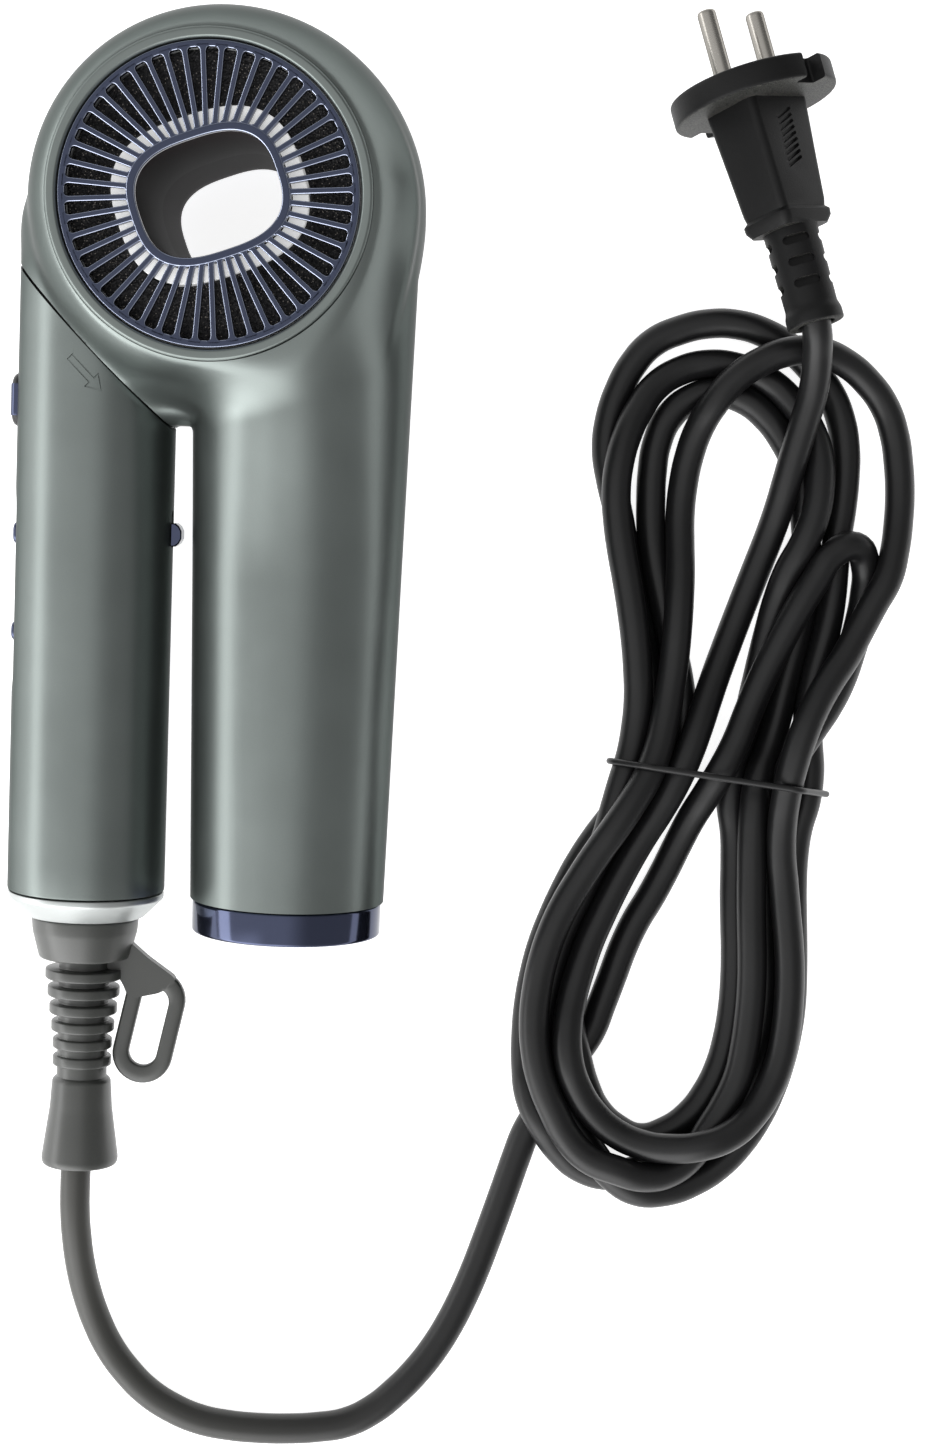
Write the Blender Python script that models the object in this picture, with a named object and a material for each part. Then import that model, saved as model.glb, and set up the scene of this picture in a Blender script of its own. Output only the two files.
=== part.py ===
"""Folding hair dryer: a round open-centred head with a barrel, swivelled flat against its handle.

The dryer is modelled in its own frame and then laid on the floor. In that frame the origin is the
centre of the round head, +X runs across, +Y points away from the handle and +Z is the head's axis.
An empty tips this frame so that the dryer rests on the head's rear rim and on the barrel's mouth.
Lengths are in metres.
"""
from math import asin, cos, pi, radians, sin, sqrt

import bmesh
import bpy
from mathutils import Euler, Matrix, Vector

# ---- driving dimensions -------------------------------------------------------------------------

GAP = 0.0003                # clearance that touching pieces keep
WALL = 0.0022               # moulded wall

HEAD_RADIUS = 0.0489
HEAD_HALF = 0.0370          # half of the head's thickness
FACE_RADIUS = 0.0395        # outer edge of the flat bezel
OPENING_RADIUS = 0.0373     # the hole in the face that takes the grille
SHOULDER = 0.0220           # height of the rounding from the bezel to the side

DUCT_LONG = 0.0171          # half axes of the see-through duct
DUCT_SHORT = 0.0135
DUCT_POWER = 2.8            # exponent of its superellipse
DUCT_TURN = radians(20)
DUCT_WALL = 0.0016

GRILLE_RADIUS = 0.0367
GRILLE_RIBS = 48
GRILLE_RIB = 0.0014
GRILLE_DEPTH = 0.0022

BARREL_X = 0.0203           # the barrel's axis, beside the head's centre
BARREL_TOP = 0.002          # its sides run up to the head's middle and dome over inside the head
BARREL_TOP_RADIUS = 0.02828
BARREL_END = 0.1732
BARREL_END_RADIUS = 0.0247
OUTLET_END = 0.1817
OUTLET_RADIUS = 0.0241

HANDLE_X = -0.0315          # the handle's axis
HANDLE_TOP_RADIUS = 0.0198
HANDLE_END = 0.1730
HANDLE_END_RADIUS = 0.0200
CAP_END = 0.1797
CAP_END_RADIUS = 0.0146

SEAM = Vector((HANDLE_X, -0.0350, 0.0))    # where the swivel's axis crosses the slanting seam

RELIEF_END = 0.2450         # mouth of the strain relief
CORD_RADIUS = 0.0039
CORD_SPACING = 0.0105       # between the points of the cord's tube

COOL_Y = -0.0490            # places of the controls along the handle
SLOT_Y = -0.0802
SLIDER_Y = -0.0815
PANEL_Y = (-0.1219, -0.0750)
HEAT_Y = -0.0825
SPEED_Y = -0.1074

PITCH = radians(5.56)       # how the dryer lies: mouth down
ROLL = radians(-1.8)        # and handle side slightly down
REST = Vector((0.00185, 0.09732, 0.04083))   # the head's centre, the dryer centred over the origin

FINE = 42                   # sides of the large round pieces
PLAIN = 24                  # sides of the medium ones
SMALL = 12                  # sides of the small ones

# The cord lies on the floor: it sinks from the strain relief, makes a wide U and runs into the hank.
CORD_ROUTE = (
    (-0.0301, -0.1471, 0.0160), (-0.0300, -0.1560, 0.0150), (-0.0296, -0.1650, 0.0132),
    (-0.0282, -0.1765, 0.0098), (-0.0255, -0.1865, 0.0064), (-0.0205, -0.1970, 0.0045),
    (-0.0110, -0.2077, 0.0040), (0.0010, -0.2142, 0.0040), (0.0135, -0.2165, 0.0040),
    (0.0300, -0.2164, 0.0040), (0.0445, -0.2136, 0.0040), (0.0560, -0.2050, 0.0040),
    (0.0655, -0.1930, 0.0040), (0.0725, -0.1790, 0.0040), (0.0777, -0.1645, 0.0040),
    (0.0827, -0.1485, 0.0040), (0.0855, -0.1404, 0.0040),
)
HANK_HEIGHT = 0.0220
HANK_OUTLINE = (            # around the tied hank, clockwise from its upper end
    (0.1320, 0.0790), (0.1430, 0.0722), (0.1560, 0.0738), (0.1680, 0.0690), (0.1775, 0.0575),
    (0.1822, 0.0400), (0.1780, 0.0150), (0.1670, -0.0080), (0.1570, -0.0300), (0.1538, -0.0500),
    (0.1565, -0.0760), (0.1582, -0.0960), (0.1555, -0.1150), (0.1475, -0.1360), (0.1300, -0.1510),
    (0.1100, -0.1530), (0.0910, -0.1440), (0.0825, -0.1260), (0.0835, -0.1050), (0.0910, -0.0820),
    (0.1020, -0.0580), (0.1093, -0.0370), (0.1075, -0.0140), (0.1015, 0.0130), (0.0990, 0.0380),
    (0.1030, 0.0600), (0.1145, 0.0757),
)
TIE_RADIUS = 0.00085
TIE_ENDS = ((0.1070, -0.0370), (0.1560, -0.0425))

PLUG_FACE = (0.1329, 0.1388, 0.0220)        # centre of the plug's face
PLUG_YAW = radians(17.3)
PLUG_SLOPE = radians(3.0)                   # its rear end, lying on the hank, is a little higher
PLUG_ROLL = radians(-42.5)
PLUG_LENGTH = 0.0647
PIN_LENGTH = 0.0195
PIN_RADIUS = 0.0024
PIN_SPACING = 0.0190


# ---- materials ----------------------------------------------------------------------------------

def principled(name, colour, roughness, metallic=0.0):
    material = bpy.data.materials.new(name)
    material.use_nodes = True
    shader = material.node_tree.nodes["Principled BSDF"]
    shader.inputs["Base Color"].default_value = (*colour, 1.0)
    shader.inputs["Roughness"].default_value = roughness
    shader.inputs["Metallic"].default_value = metallic
    return material


# ---- modelling helpers --------------------------------------------------------------------------

def add_empty(name, parent=None, location=(0, 0, 0), rotation=(0, 0, 0)):
    empty = bpy.data.objects.new(name, None)
    bpy.context.collection.objects.link(empty)
    empty.parent = parent
    empty.location = location
    empty.rotation_euler = rotation
    return empty


def add_mesh(name, bm, material=None, parent=None, location=(0, 0, 0), rotation=(0, 0, 0)):
    """Turn a bmesh into a smooth-shaded object; without a material it is a cutter."""
    bmesh.ops.recalc_face_normals(bm, faces=bm.faces)
    mesh = bpy.data.meshes.new(name)
    bm.to_mesh(mesh)
    bm.free()
    mesh.shade_smooth()
    mesh.set_sharp_from_angle(angle=radians(35))
    obj = bpy.data.objects.new(name, mesh)
    bpy.context.collection.objects.link(obj)
    obj.parent = parent
    obj.location = location
    obj.rotation_euler = rotation
    if material:
        mesh.materials.append(material)
    else:
        obj.hide_render = True
        obj.display_type = "WIRE"
    return obj


def boolean(target, other, operation="DIFFERENCE"):
    modifier = target.modifiers.new(other.name, "BOOLEAN")
    modifier.operation = operation
    modifier.object = other
    modifier.solver = "EXACT"
    return target


def turned(name, profile, sides, **place):
    """Spin a profile of (radius, height) points about Z; radius 0 closes it on the axis."""
    bm = bmesh.new()
    rings = []
    for radius, height in profile:
        if radius == 0:
            rings.append([bm.verts.new((0, 0, height))])
            continue
        angles = [2 * pi * i / sides for i in range(sides)]
        rings.append([bm.verts.new((radius * cos(a), radius * sin(a), height)) for a in angles])
    pairs = list(zip(rings, rings[1:]))
    if profile[0][0] > 0:
        pairs.append((rings[-1], rings[0]))
    for first, second in pairs:
        for i in range(sides):
            j = (i + 1) % sides
            corners = [first[i % len(first)], first[j % len(first)],
                       second[j % len(second)], second[i % len(second)]]
            bm.faces.new(list(dict.fromkeys(corners)))
    return add_mesh(name, bm, **place)


def prism(name, outline, low, high, **place):
    """Extrude an outline of (x, y) points along Z."""
    bm = bmesh.new()
    face = bm.faces.new([bm.verts.new((x, y, low)) for x, y in outline])
    walls = bmesh.ops.extrude_face_region(bm, geom=[face])
    top = [v for v in walls["geom"] if isinstance(v, bmesh.types.BMVert)]
    bmesh.ops.translate(bm, verts=top, vec=(0, 0, high - low))
    return add_mesh(name, bm, **place)


def box(name, low, high, bevel=0.0, **place):
    bm = bmesh.new()
    size = Vector(high) - Vector(low)
    middle = (Vector(high) + Vector(low)) / 2
    bmesh.ops.create_cube(bm, size=1.0, matrix=Matrix.Translation(middle) @ Matrix.Diagonal((*size, 1)))
    if bevel:
        bmesh.ops.bevel(bm, geom=bm.edges, offset=bevel, segments=1, affect="EDGES")
    return add_mesh(name, bm, **place)


def framed_ring(name, inner, outer, low, high, sides, **place):
    """A flat ring between two closed outlines, each given as radius by angle."""
    bm = bmesh.new()
    loops = []
    for edge, height in ((inner, low), (outer, low), (outer, high), (inner, high)):
        angles = [2 * pi * i / sides for i in range(sides)]
        loops.append([bm.verts.new((edge(a) * cos(a), edge(a) * sin(a), height)) for a in angles])
    for first, second in zip(loops, loops[1:] + loops[:1]):
        for i in range(sides):
            j = (i + 1) % sides
            bm.faces.new((first[i], first[j], second[j], second[i]))
    return add_mesh(name, bm, **place)


def slotted_ring(name, inner, outer, ribs, rib, rims, low, high, steps=1, **place):
    """A flat ring with radial slots: constant-width ribs join an inner rim to an outer one."""
    bm = bmesh.new()
    pitch = 2 * pi / ribs
    rows = (lambda a: inner(a), lambda a: inner(a) + rims[0],
            lambda a: outer - rims[1], lambda a: outer)
    slot_edge = (1, 1, 2, 2)        # rows 0 and 3 take their angles from the slot edge beside them

    def point(row, sector, step, height):
        start = sector * pitch
        half = asin(rib / 2 / rows[slot_edge[row]](start))
        angle = start + half + (pitch - 2 * half) * step / steps
        radius = rows[row](angle)
        return bm.verts.new((radius * cos(angle), radius * sin(angle), height))

    count = steps + 1
    grid = {}
    for level, height in enumerate((low, high)):
        for row in range(4):
            grid[level, row] = [point(row, s, t, height) for s in range(ribs) for t in range(count)]
    total = ribs * count
    for i in range(total):
        j = (i + 1) % total
        is_rib = i % count == steps
        strips = ((0, 1), (1, 2), (2, 3)) if is_rib else ((0, 1), (2, 3))
        for level in range(2):
            for a, b in strips:
                bm.faces.new((grid[level, a][i], grid[level, a][j], grid[level, b][j], grid[level, b][i]))
        for row in (0, 3) if is_rib else (0, 1, 2, 3):
            bm.faces.new((grid[0, row][i], grid[0, row][j], grid[1, row][j], grid[1, row][i]))
        if is_rib:
            for k in (i, j):
                bm.faces.new((grid[0, 1][k], grid[0, 2][k], grid[1, 2][k], grid[1, 1][k]))
    return add_mesh(name, bm, **place)


def smooth_route(points, spacing, closed=False):
    """Points at an even spacing along a smooth curve through the given ones."""
    route = [Vector(p) for p in points]
    if closed:
        ends = [route[-1]] + route + route[:2]
        route.append(route[0])
    else:
        ends = [route[0] * 2 - route[1]] + route + [route[-1] * 2 - route[-2]]
    fine = []
    for a, b, c, d in zip(ends, ends[1:], ends[2:], ends[3:]):
        for i in range(24):
            t = i / 24
            fine.append(0.5 * (2 * b + (c - a) * t + (2 * a - 5 * b + 4 * c - d) * t ** 2
                               + (3 * b - a - 3 * c + d) * t ** 3))
    fine.append(route[-1])
    length = sum((b - a).length for a, b in zip(fine, fine[1:]))
    count = round(length / spacing)
    even = [fine[0]]
    walked = 0.0
    for a, b in zip(fine, fine[1:]):
        step = (b - a).length
        while len(even) < count and walked + step >= len(even) * length / count:
            even.append(a.lerp(b, (len(even) * length / count - walked) / step))
        walked += step
    return even + [fine[-1]]


def taper(name, low_size, high_size, low, high, bevel=0.0, **place):
    """A block whose rectangular section changes from one end to the other."""
    bm = bmesh.new()
    corners = ((-0.5, -0.5), (0.5, -0.5), (0.5, 0.5), (-0.5, 0.5))
    ends = [[bm.verts.new((x * size[0], y * size[1], height)) for x, y in corners]
            for size, height in ((low_size, low), (high_size, high))]
    bm.faces.new(ends[0])
    bm.faces.new(ends[1])
    for i in range(4):
        j = (i + 1) % 4
        bm.faces.new((ends[0][i], ends[0][j], ends[1][j], ends[1][i]))
    if bevel:
        long_edges = [e for e in bm.edges if e.verts[0].co.z != e.verts[1].co.z]
        bmesh.ops.bevel(bm, geom=long_edges, offset=bevel, segments=2, affect="EDGES")
    return add_mesh(name, bm, **place)


def tube(name, points, radius, material, resolution=2, parent=None):
    curve = bpy.data.curves.new(name, "CURVE")
    curve.dimensions = "3D"
    curve.bevel_depth = radius
    curve.bevel_resolution = resolution
    curve.use_fill_caps = True
    spline = curve.splines.new("POLY")
    spline.points.add(len(points) - 1)
    for spot, place in zip(spline.points, points):
        spot.co = (*place, 1.0)
    curve.materials.append(material)
    obj = bpy.data.objects.new(name, curve)
    bpy.context.collection.objects.link(obj)
    obj.parent = parent


def capsule(length, width, steps=6):
    """Outline of a slot with round ends, its long side along Y."""
    radius = width / 2
    straight = length / 2 - radius
    arc = [pi * i / steps for i in range(steps + 1)]
    return ([(radius * cos(a), straight + radius * sin(a)) for a in arc]
            + [(-radius * cos(a), -straight - radius * sin(a)) for a in arc])


def superellipse(long, short):
    def radius(angle):
        x = abs(cos(angle - DUCT_TURN)) / long
        y = abs(sin(angle - DUCT_TURN)) / short
        return (x ** DUCT_POWER + y ** DUCT_POWER) ** (-1 / DUCT_POWER)
    return radius


def duct_outline(offset):
    """The duct's outline, grown outwards by an offset."""
    return superellipse(DUCT_LONG + offset, DUCT_SHORT + offset)


def circle(radius):
    return lambda angle: radius


# ---- head ---------------------------------------------------------------------------------------

def head_profile():
    """Half of the head's side: the flat bezel, then an elliptic shoulder."""
    bulge = HEAD_RADIUS - FACE_RADIUS
    steps = 4
    arc = [(FACE_RADIUS + bulge * sin(pi / 2 * i / steps),
            HEAD_HALF - SHOULDER + SHOULDER * cos(pi / 2 * i / steps)) for i in range(steps + 1)]
    return [(0, HEAD_HALF)] + arc


def mirrored(profile):
    return profile + [(radius, -height) for radius, height in reversed(profile)]


def stub_profile(wall, reach):
    """The head's half of the handle, round at its upper end."""
    shape = [(0.0165, 0.003), (0.0193, 0.014), (HANDLE_TOP_RADIUS, 0.028), (HANDLE_TOP_RADIUS, reach)]
    return [(0, -0.002 + wall)] + [(radius - wall, height) for radius, height in shape] + [(0, reach)]


def barrel_radius(height):
    slope = (BARREL_END_RADIUS - BARREL_TOP_RADIUS) / (BARREL_END - BARREL_TOP)
    return BARREL_TOP_RADIUS + slope * (height - BARREL_TOP)


def make_head_shell(name, side, head, barrel, stub, seam, material):
    """One half of the head's shell, split from the other along the middle plane."""
    reach = BARREL_END + 0.020
    bottom, top = sorted((side * GAP / 2, side * 0.045))
    origin = -SEAM
    shell = box(name, (-0.070, -0.200, bottom), (0.070, 0.070, top), material=material,
                parent=head, location=origin)

    outside = turned(name + "_outside", mirrored(head_profile()), FINE, parent=head, location=origin)
    limb = [(0, BARREL_TOP - 0.0120), (0.0235, BARREL_TOP - 0.0100), (BARREL_TOP_RADIUS, BARREL_TOP),
            (BARREL_END_RADIUS, BARREL_END), (0, BARREL_END)]
    barrel_outside = turned(name + "_barrel", limb, FINE, parent=barrel)
    boolean(outside, barrel_outside, "UNION")
    boolean(outside, turned(name + "_stub", stub_profile(0, 0.058), FINE, parent=stub), "UNION")
    web = box(name + "_web", (-0.0135, -0.0534, -0.016), (-0.0040, -0.0400, 0.016),
              parent=head, location=origin)
    boolean(outside, web, "UNION")
    boolean(shell, outside, "INTERSECT")

    cavity = mirrored([(0, HEAD_HALF - WALL), (0.0398, HEAD_HALF - WALL), (0.0416, 0.0337),
                       (0.0441, 0.0297), (0.0460, 0.0230), (HEAD_RADIUS - WALL, 0.0150)])
    boolean(shell, turned(name + "_cavity", cavity, FINE, parent=head, location=origin))
    opening = [(0, -0.060), (OPENING_RADIUS, -0.060), (OPENING_RADIUS, 0.060), (0, 0.060)]
    boolean(shell, turned(name + "_opening", opening, FINE, parent=head, location=origin))
    bore = [(0, 0.012), (barrel_radius(0.012) - WALL, 0.012),
            (barrel_radius(reach) - WALL, reach), (0, reach)]
    boolean(shell, turned(name + "_bore", bore, FINE - 6, parent=barrel))
    boolean(shell, turned(name + "_stub_bore", stub_profile(WALL, 0.090), FINE - 10, parent=stub))
    trim = box(name + "_trim", (-0.060, -0.050, -GAP / 2), (0.0315, 0.050, 0.100), parent=seam)
    boolean(shell, trim)
    return shell


def make_grille(prefix, side, head, paint):
    """The grille of one face with the filter, its frame and the white ring behind it."""
    turn = (0, 0, 0) if side > 0 else (pi, 0, 0)

    def outline(offset):
        edge = duct_outline(offset)
        return edge if side > 0 else lambda a: edge(-a)

    place = dict(parent=head, location=-SEAM, rotation=turn)
    face = HEAD_HALF - 0.0002
    back = face - GRILLE_DEPTH
    slotted_ring(prefix + "_grille", outline(0), GRILLE_RADIUS, GRILLE_RIBS, GRILLE_RIB, (0.0019, 0.0016),
                 back, face, material=paint["gunmetal"], **place)
    framed_ring(prefix + "_inner_ring", outline(0.0022), outline(0.0058), back - 0.0032, back - GAP, 28,
                material=paint["white_plastic"], **place)
    framed_ring(prefix + "_filter", outline(0.0062), circle(0.0340), back - 0.0038, back - 0.0010, 28,
                material=paint["foam"], **place)
    framed_ring(prefix + "_filter_frame", circle(0.0344), circle(0.0402), back - 0.0040, back - GAP, 28,
                material=paint["grey_plastic"], **place)


def make_duct(head, paint):
    end = HEAD_HALF - 0.0002 - GRILLE_DEPTH - GAP
    framed_ring("centre_duct", duct_outline(0), duct_outline(DUCT_WALL), -end, end, 28,
                material=paint["duct_brown"], parent=head, location=-SEAM)


def make_impeller(rotor, paint):
    """Nine pitched blades on a domed hub."""
    blades = 9
    hub = [(0, -0.006), (0.0045, -0.0055), (0.0078, -0.002), (0.0082, 0.006),
           (0.0023, 0.006), (0.0023, -0.001), (0, -0.001)]
    impeller = turned("impeller", hub, PLAIN, material=paint["grey_plastic"], parent=rotor)
    bm = bmesh.new()
    for i in range(blades):
        turn = Matrix.Rotation(2 * pi * i / blades, 4, "Z")
        tilt = Matrix.Rotation(radians(38), 4, "X")
        place = Matrix.Translation((0.0131, 0, 0.0012))
        shape = turn @ place @ tilt @ Matrix.Diagonal((0.0132, 0.0010, 0.0088, 1))
        bmesh.ops.create_cube(bm, size=1.0, matrix=shape)
    boolean(impeller, add_mesh("impeller_blades", bm, parent=rotor), "UNION")
    shaft = [(0, -0.0008 + GAP), (0.0020, -0.0008 + GAP), (0.0020, 0.0130), (0, 0.0130)]
    turned("motor_shaft", shaft, SMALL, material=paint["steel"], parent=rotor)


def make_blower(barrel, paint):
    """Shroud, motor and its mount, in the upper half of the barrel."""
    framed_ring("fan_shroud", circle(0.0208), circle(0.0222), 0.052, 0.104, PLAIN,
                material=paint["black_plastic"], parent=barrel)
    can = [(0, 0.0985), (0.0120, 0.0985), (0.0135, 0.0970), (0.0135, 0.0765), (0.0120, 0.0750),
           (0.0026, 0.0750), (0.0026, 0.0785), (0, 0.0785)]
    turned("motor_can", can, PLAIN, material=paint["steel"], parent=barrel)
    slotted_ring("motor_mount", circle(0.0138), 0.0205, 6, 0.0030, (0.0012, 0.0012), 0.080, 0.092, steps=3,
                 material=paint["rubber"], parent=barrel)


def make_heater(barrel, paint):
    """Crossed mica boards with a wound coil, in the barrel's mouth."""
    arm, half = 0.0188, 0.0004
    cross = [(arm, -half), (arm, half), (half, half), (half, arm), (-half, arm), (-half, half),
             (-arm, half), (-arm, -half), (-half, -half), (-half, -arm), (half, -arm), (half, -half)]
    prism("heater_frame", cross, 0.108, 0.163, material=paint["mica"], parent=barrel)
    turns, steps, pitch, wound = 4, 12, 0.011, 0.0199
    angles = [2 * pi * i / steps for i in range(turns * steps + 1)]
    helix = [Vector((wound * cos(a), wound * sin(a), 0.112 + pitch * a / (2 * pi))) for a in angles]
    tube("heater_coil", helix, 0.0006, paint["element"], resolution=0, parent=barrel)
    framed_ring("heater_sleeve", circle(0.0209), circle(0.0215), 0.106, 0.166, PLAIN,
                material=paint["mica"], parent=barrel)
    box("thermostat", (0.0009, 0.0009, 0.146), (0.0090, 0.0070, 0.156), bevel=0.0006,
        material=paint["steel"], parent=barrel)
    fuse = [(0, 0.136), (0.0016, 0.136), (0.0016, 0.147), (0, 0.147)]
    turned("thermal_fuse", fuse, SMALL, material=paint["white_plastic"], parent=barrel,
           location=(-0.006, -0.006, 0))
    needle = [(0, 0.150), (0.0024, 0.150), (0.0024, 0.160), (0.0010, 0.1645), (0, 0.1645)]
    turned("ion_emitter", needle, SMALL, material=paint["black_plastic"], parent=barrel,
           location=(-0.006, 0.006, 0))


def make_outlet(barrel, paint):
    slotted_ring("outlet_grille", circle(0.0040), 0.0190, 14, 0.0012, (0.0012, 0.0012), OUTLET_END - 0.0117,
                 OUTLET_END - 0.0089, material=paint["black_plastic"], parent=barrel)
    bore, spigot = 0.0194, 0.0215
    tail = BARREL_END - 0.0030
    ring = [(OUTLET_RADIUS, OUTLET_END - 0.0010), (OUTLET_RADIUS - 0.0010, OUTLET_END), (bore, OUTLET_END),
            (bore, tail), (spigot, tail), (spigot, BARREL_END + GAP), (OUTLET_RADIUS, BARREL_END + GAP)]
    turned("outlet_ring", ring, FINE, material=paint["blue_chrome"], parent=barrel)


def make_swivel(head_seam, handle_seam, paint):
    """Hub on the head's side, socket on the handle's, spring washer and retainer between."""
    hub = [(0.0055, -0.0045), (0.0140, -0.0045), (0.0140, -0.0006), (0.0080, -0.0006),
           (0.0080, 0.0075), (0.0055, 0.0075)]
    turned("swivel_hub", hub, PLAIN, material=paint["black_plastic"], parent=head_seam)
    framed_ring("swivel_retainer", circle(0.0080 + GAP), circle(0.0112), 0.0059, 0.0069, PLAIN,
                material=paint["steel"], parent=head_seam)
    framed_ring("swivel_socket", circle(0.0080 + GAP), circle(0.0150), 0.0006, 0.0045, PLAIN,
                material=paint["black_plastic"], parent=handle_seam)
    framed_ring("swivel_washer", circle(0.0080 + GAP), circle(0.0115), 0.0048, 0.0056, PLAIN,
                material=paint["steel"], parent=handle_seam)


# ---- handle -------------------------------------------------------------------------------------

def make_handle(dryer, handle, seam, paint):
    outer = [(HANDLE_TOP_RADIUS, 0.005), (HANDLE_END_RADIUS, HANDLE_END),
             (HANDLE_END_RADIUS - WALL, HANDLE_END), (HANDLE_TOP_RADIUS - WALL, 0.005)]
    shell = turned("handle_shell", outer, FINE, material=paint["shell"], parent=handle)
    boolean(shell, box("handle_trim", (-0.080, -0.050, -0.080), (0.080, 0.050, GAP / 2), parent=seam))
    left = dict(parent=dryer, rotation=(0, -pi / 2, 0))
    right = dict(parent=dryer, rotation=(0, pi / 2, 0))
    boolean(shell, prism("cool_shot_hole", capsule(0.0145, 0.0083), 0, 0.015,
                         location=(-0.045, COOL_Y, 0), **left))
    boolean(shell, prism("slider_slot", capsule(0.0096, 0.0036), 0, 0.015,
                         location=(-0.020, SLOT_Y, 0), **right))
    panel_low, panel_high = PANEL_Y
    window = box("panel_window", (-0.0056, panel_low - GAP, 0), (0.0056, panel_high + GAP, 0.015),
                 location=(-0.045, 0, 0), **left)
    boolean(shell, window)
    panel = box("control_panel", (-0.0053, panel_low, 0.0173), (0.0053, panel_high, 0.0190), bevel=0.0003,
                material=paint["blue_chrome"], location=(HANDLE_X, 0, 0), **left)
    for y in (HEAT_Y, SPEED_Y):
        boolean(panel, prism("button_hole", capsule(0.0062, 0.0052), 0.010, 0.030,
                             location=(HANDLE_X, y, 0), **left))

    cap = [(HANDLE_END_RADIUS - 0.0001, HANDLE_END + GAP), (HANDLE_END_RADIUS - 0.0001, 0.1746),
           (0.0186, 0.1772), (CAP_END_RADIUS, CAP_END), (0.0065, CAP_END), (0.0065, HANDLE_END + GAP),
           (0.0158, HANDLE_END + GAP), (0.0158, 0.1700), (0.0174, 0.1700), (0.0174, HANDLE_END + GAP)]
    end_cap = turned("handle_end_cap", cap, PLAIN, material=paint["silver"], parent=handle)
    pilot = [(0, 0.170), (0.0015, 0.170), (0.0015, 0.1775), (0, 0.1775)]
    for x in (-0.0085, 0.0085):
        boolean(end_cap, turned("pilot_hole", pilot, SMALL, parent=handle, location=(x, 0, 0)))


def button(name, y, length, width, foot, crown, flange, material, dryer):
    """A push button with round ends and a wider flange behind the wall; its travel is along Z."""
    body = prism(name, capsule(length, width), foot, crown, material=material, parent=dryer,
                 location=(HANDLE_X, y, 0), rotation=(0, -pi / 2, 0))
    if flange:
        extra, thickness = flange
        rim = prism(name + "_flange", capsule(length + extra, width + extra), foot, foot + thickness,
                    parent=dryer, location=(HANDLE_X, y, 0), rotation=(0, -pi / 2, 0))
        boolean(body, rim, "UNION")
    return body


def make_controls(dryer, paint):
    chrome = paint["blue_chrome"]
    button("cool_shot_button", COOL_Y, 0.0137, 0.0075, 0.0152, 0.0216, (0.0016, 0.0011), chrome, dryer)
    button("heat_button", HEAT_Y, 0.0054, 0.0044, 0.0118, 0.0205, None, chrome, dryer)
    button("speed_button", SPEED_Y, 0.0048, 0.0044, 0.0118, 0.0205, None, chrome, dryer)

    place = dict(parent=dryer, location=(HANDLE_X, SLIDER_Y, 0), rotation=(0, pi / 2, 0))
    knob = box("power_slider", (-0.0028, -0.00295, 0.0203), (0.0028, 0.00295, 0.0224),
               material=chrome, **place)
    boolean(knob, box("slider_stem", (-0.0013, -0.0019, 0.0165), (0.0013, 0.0019, 0.0210), **place), "UNION")
    boolean(knob, box("slider_foot", (-0.0036, -0.0045, 0.0155), (0.0036, 0.0045, 0.0168), **place), "UNION")


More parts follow.
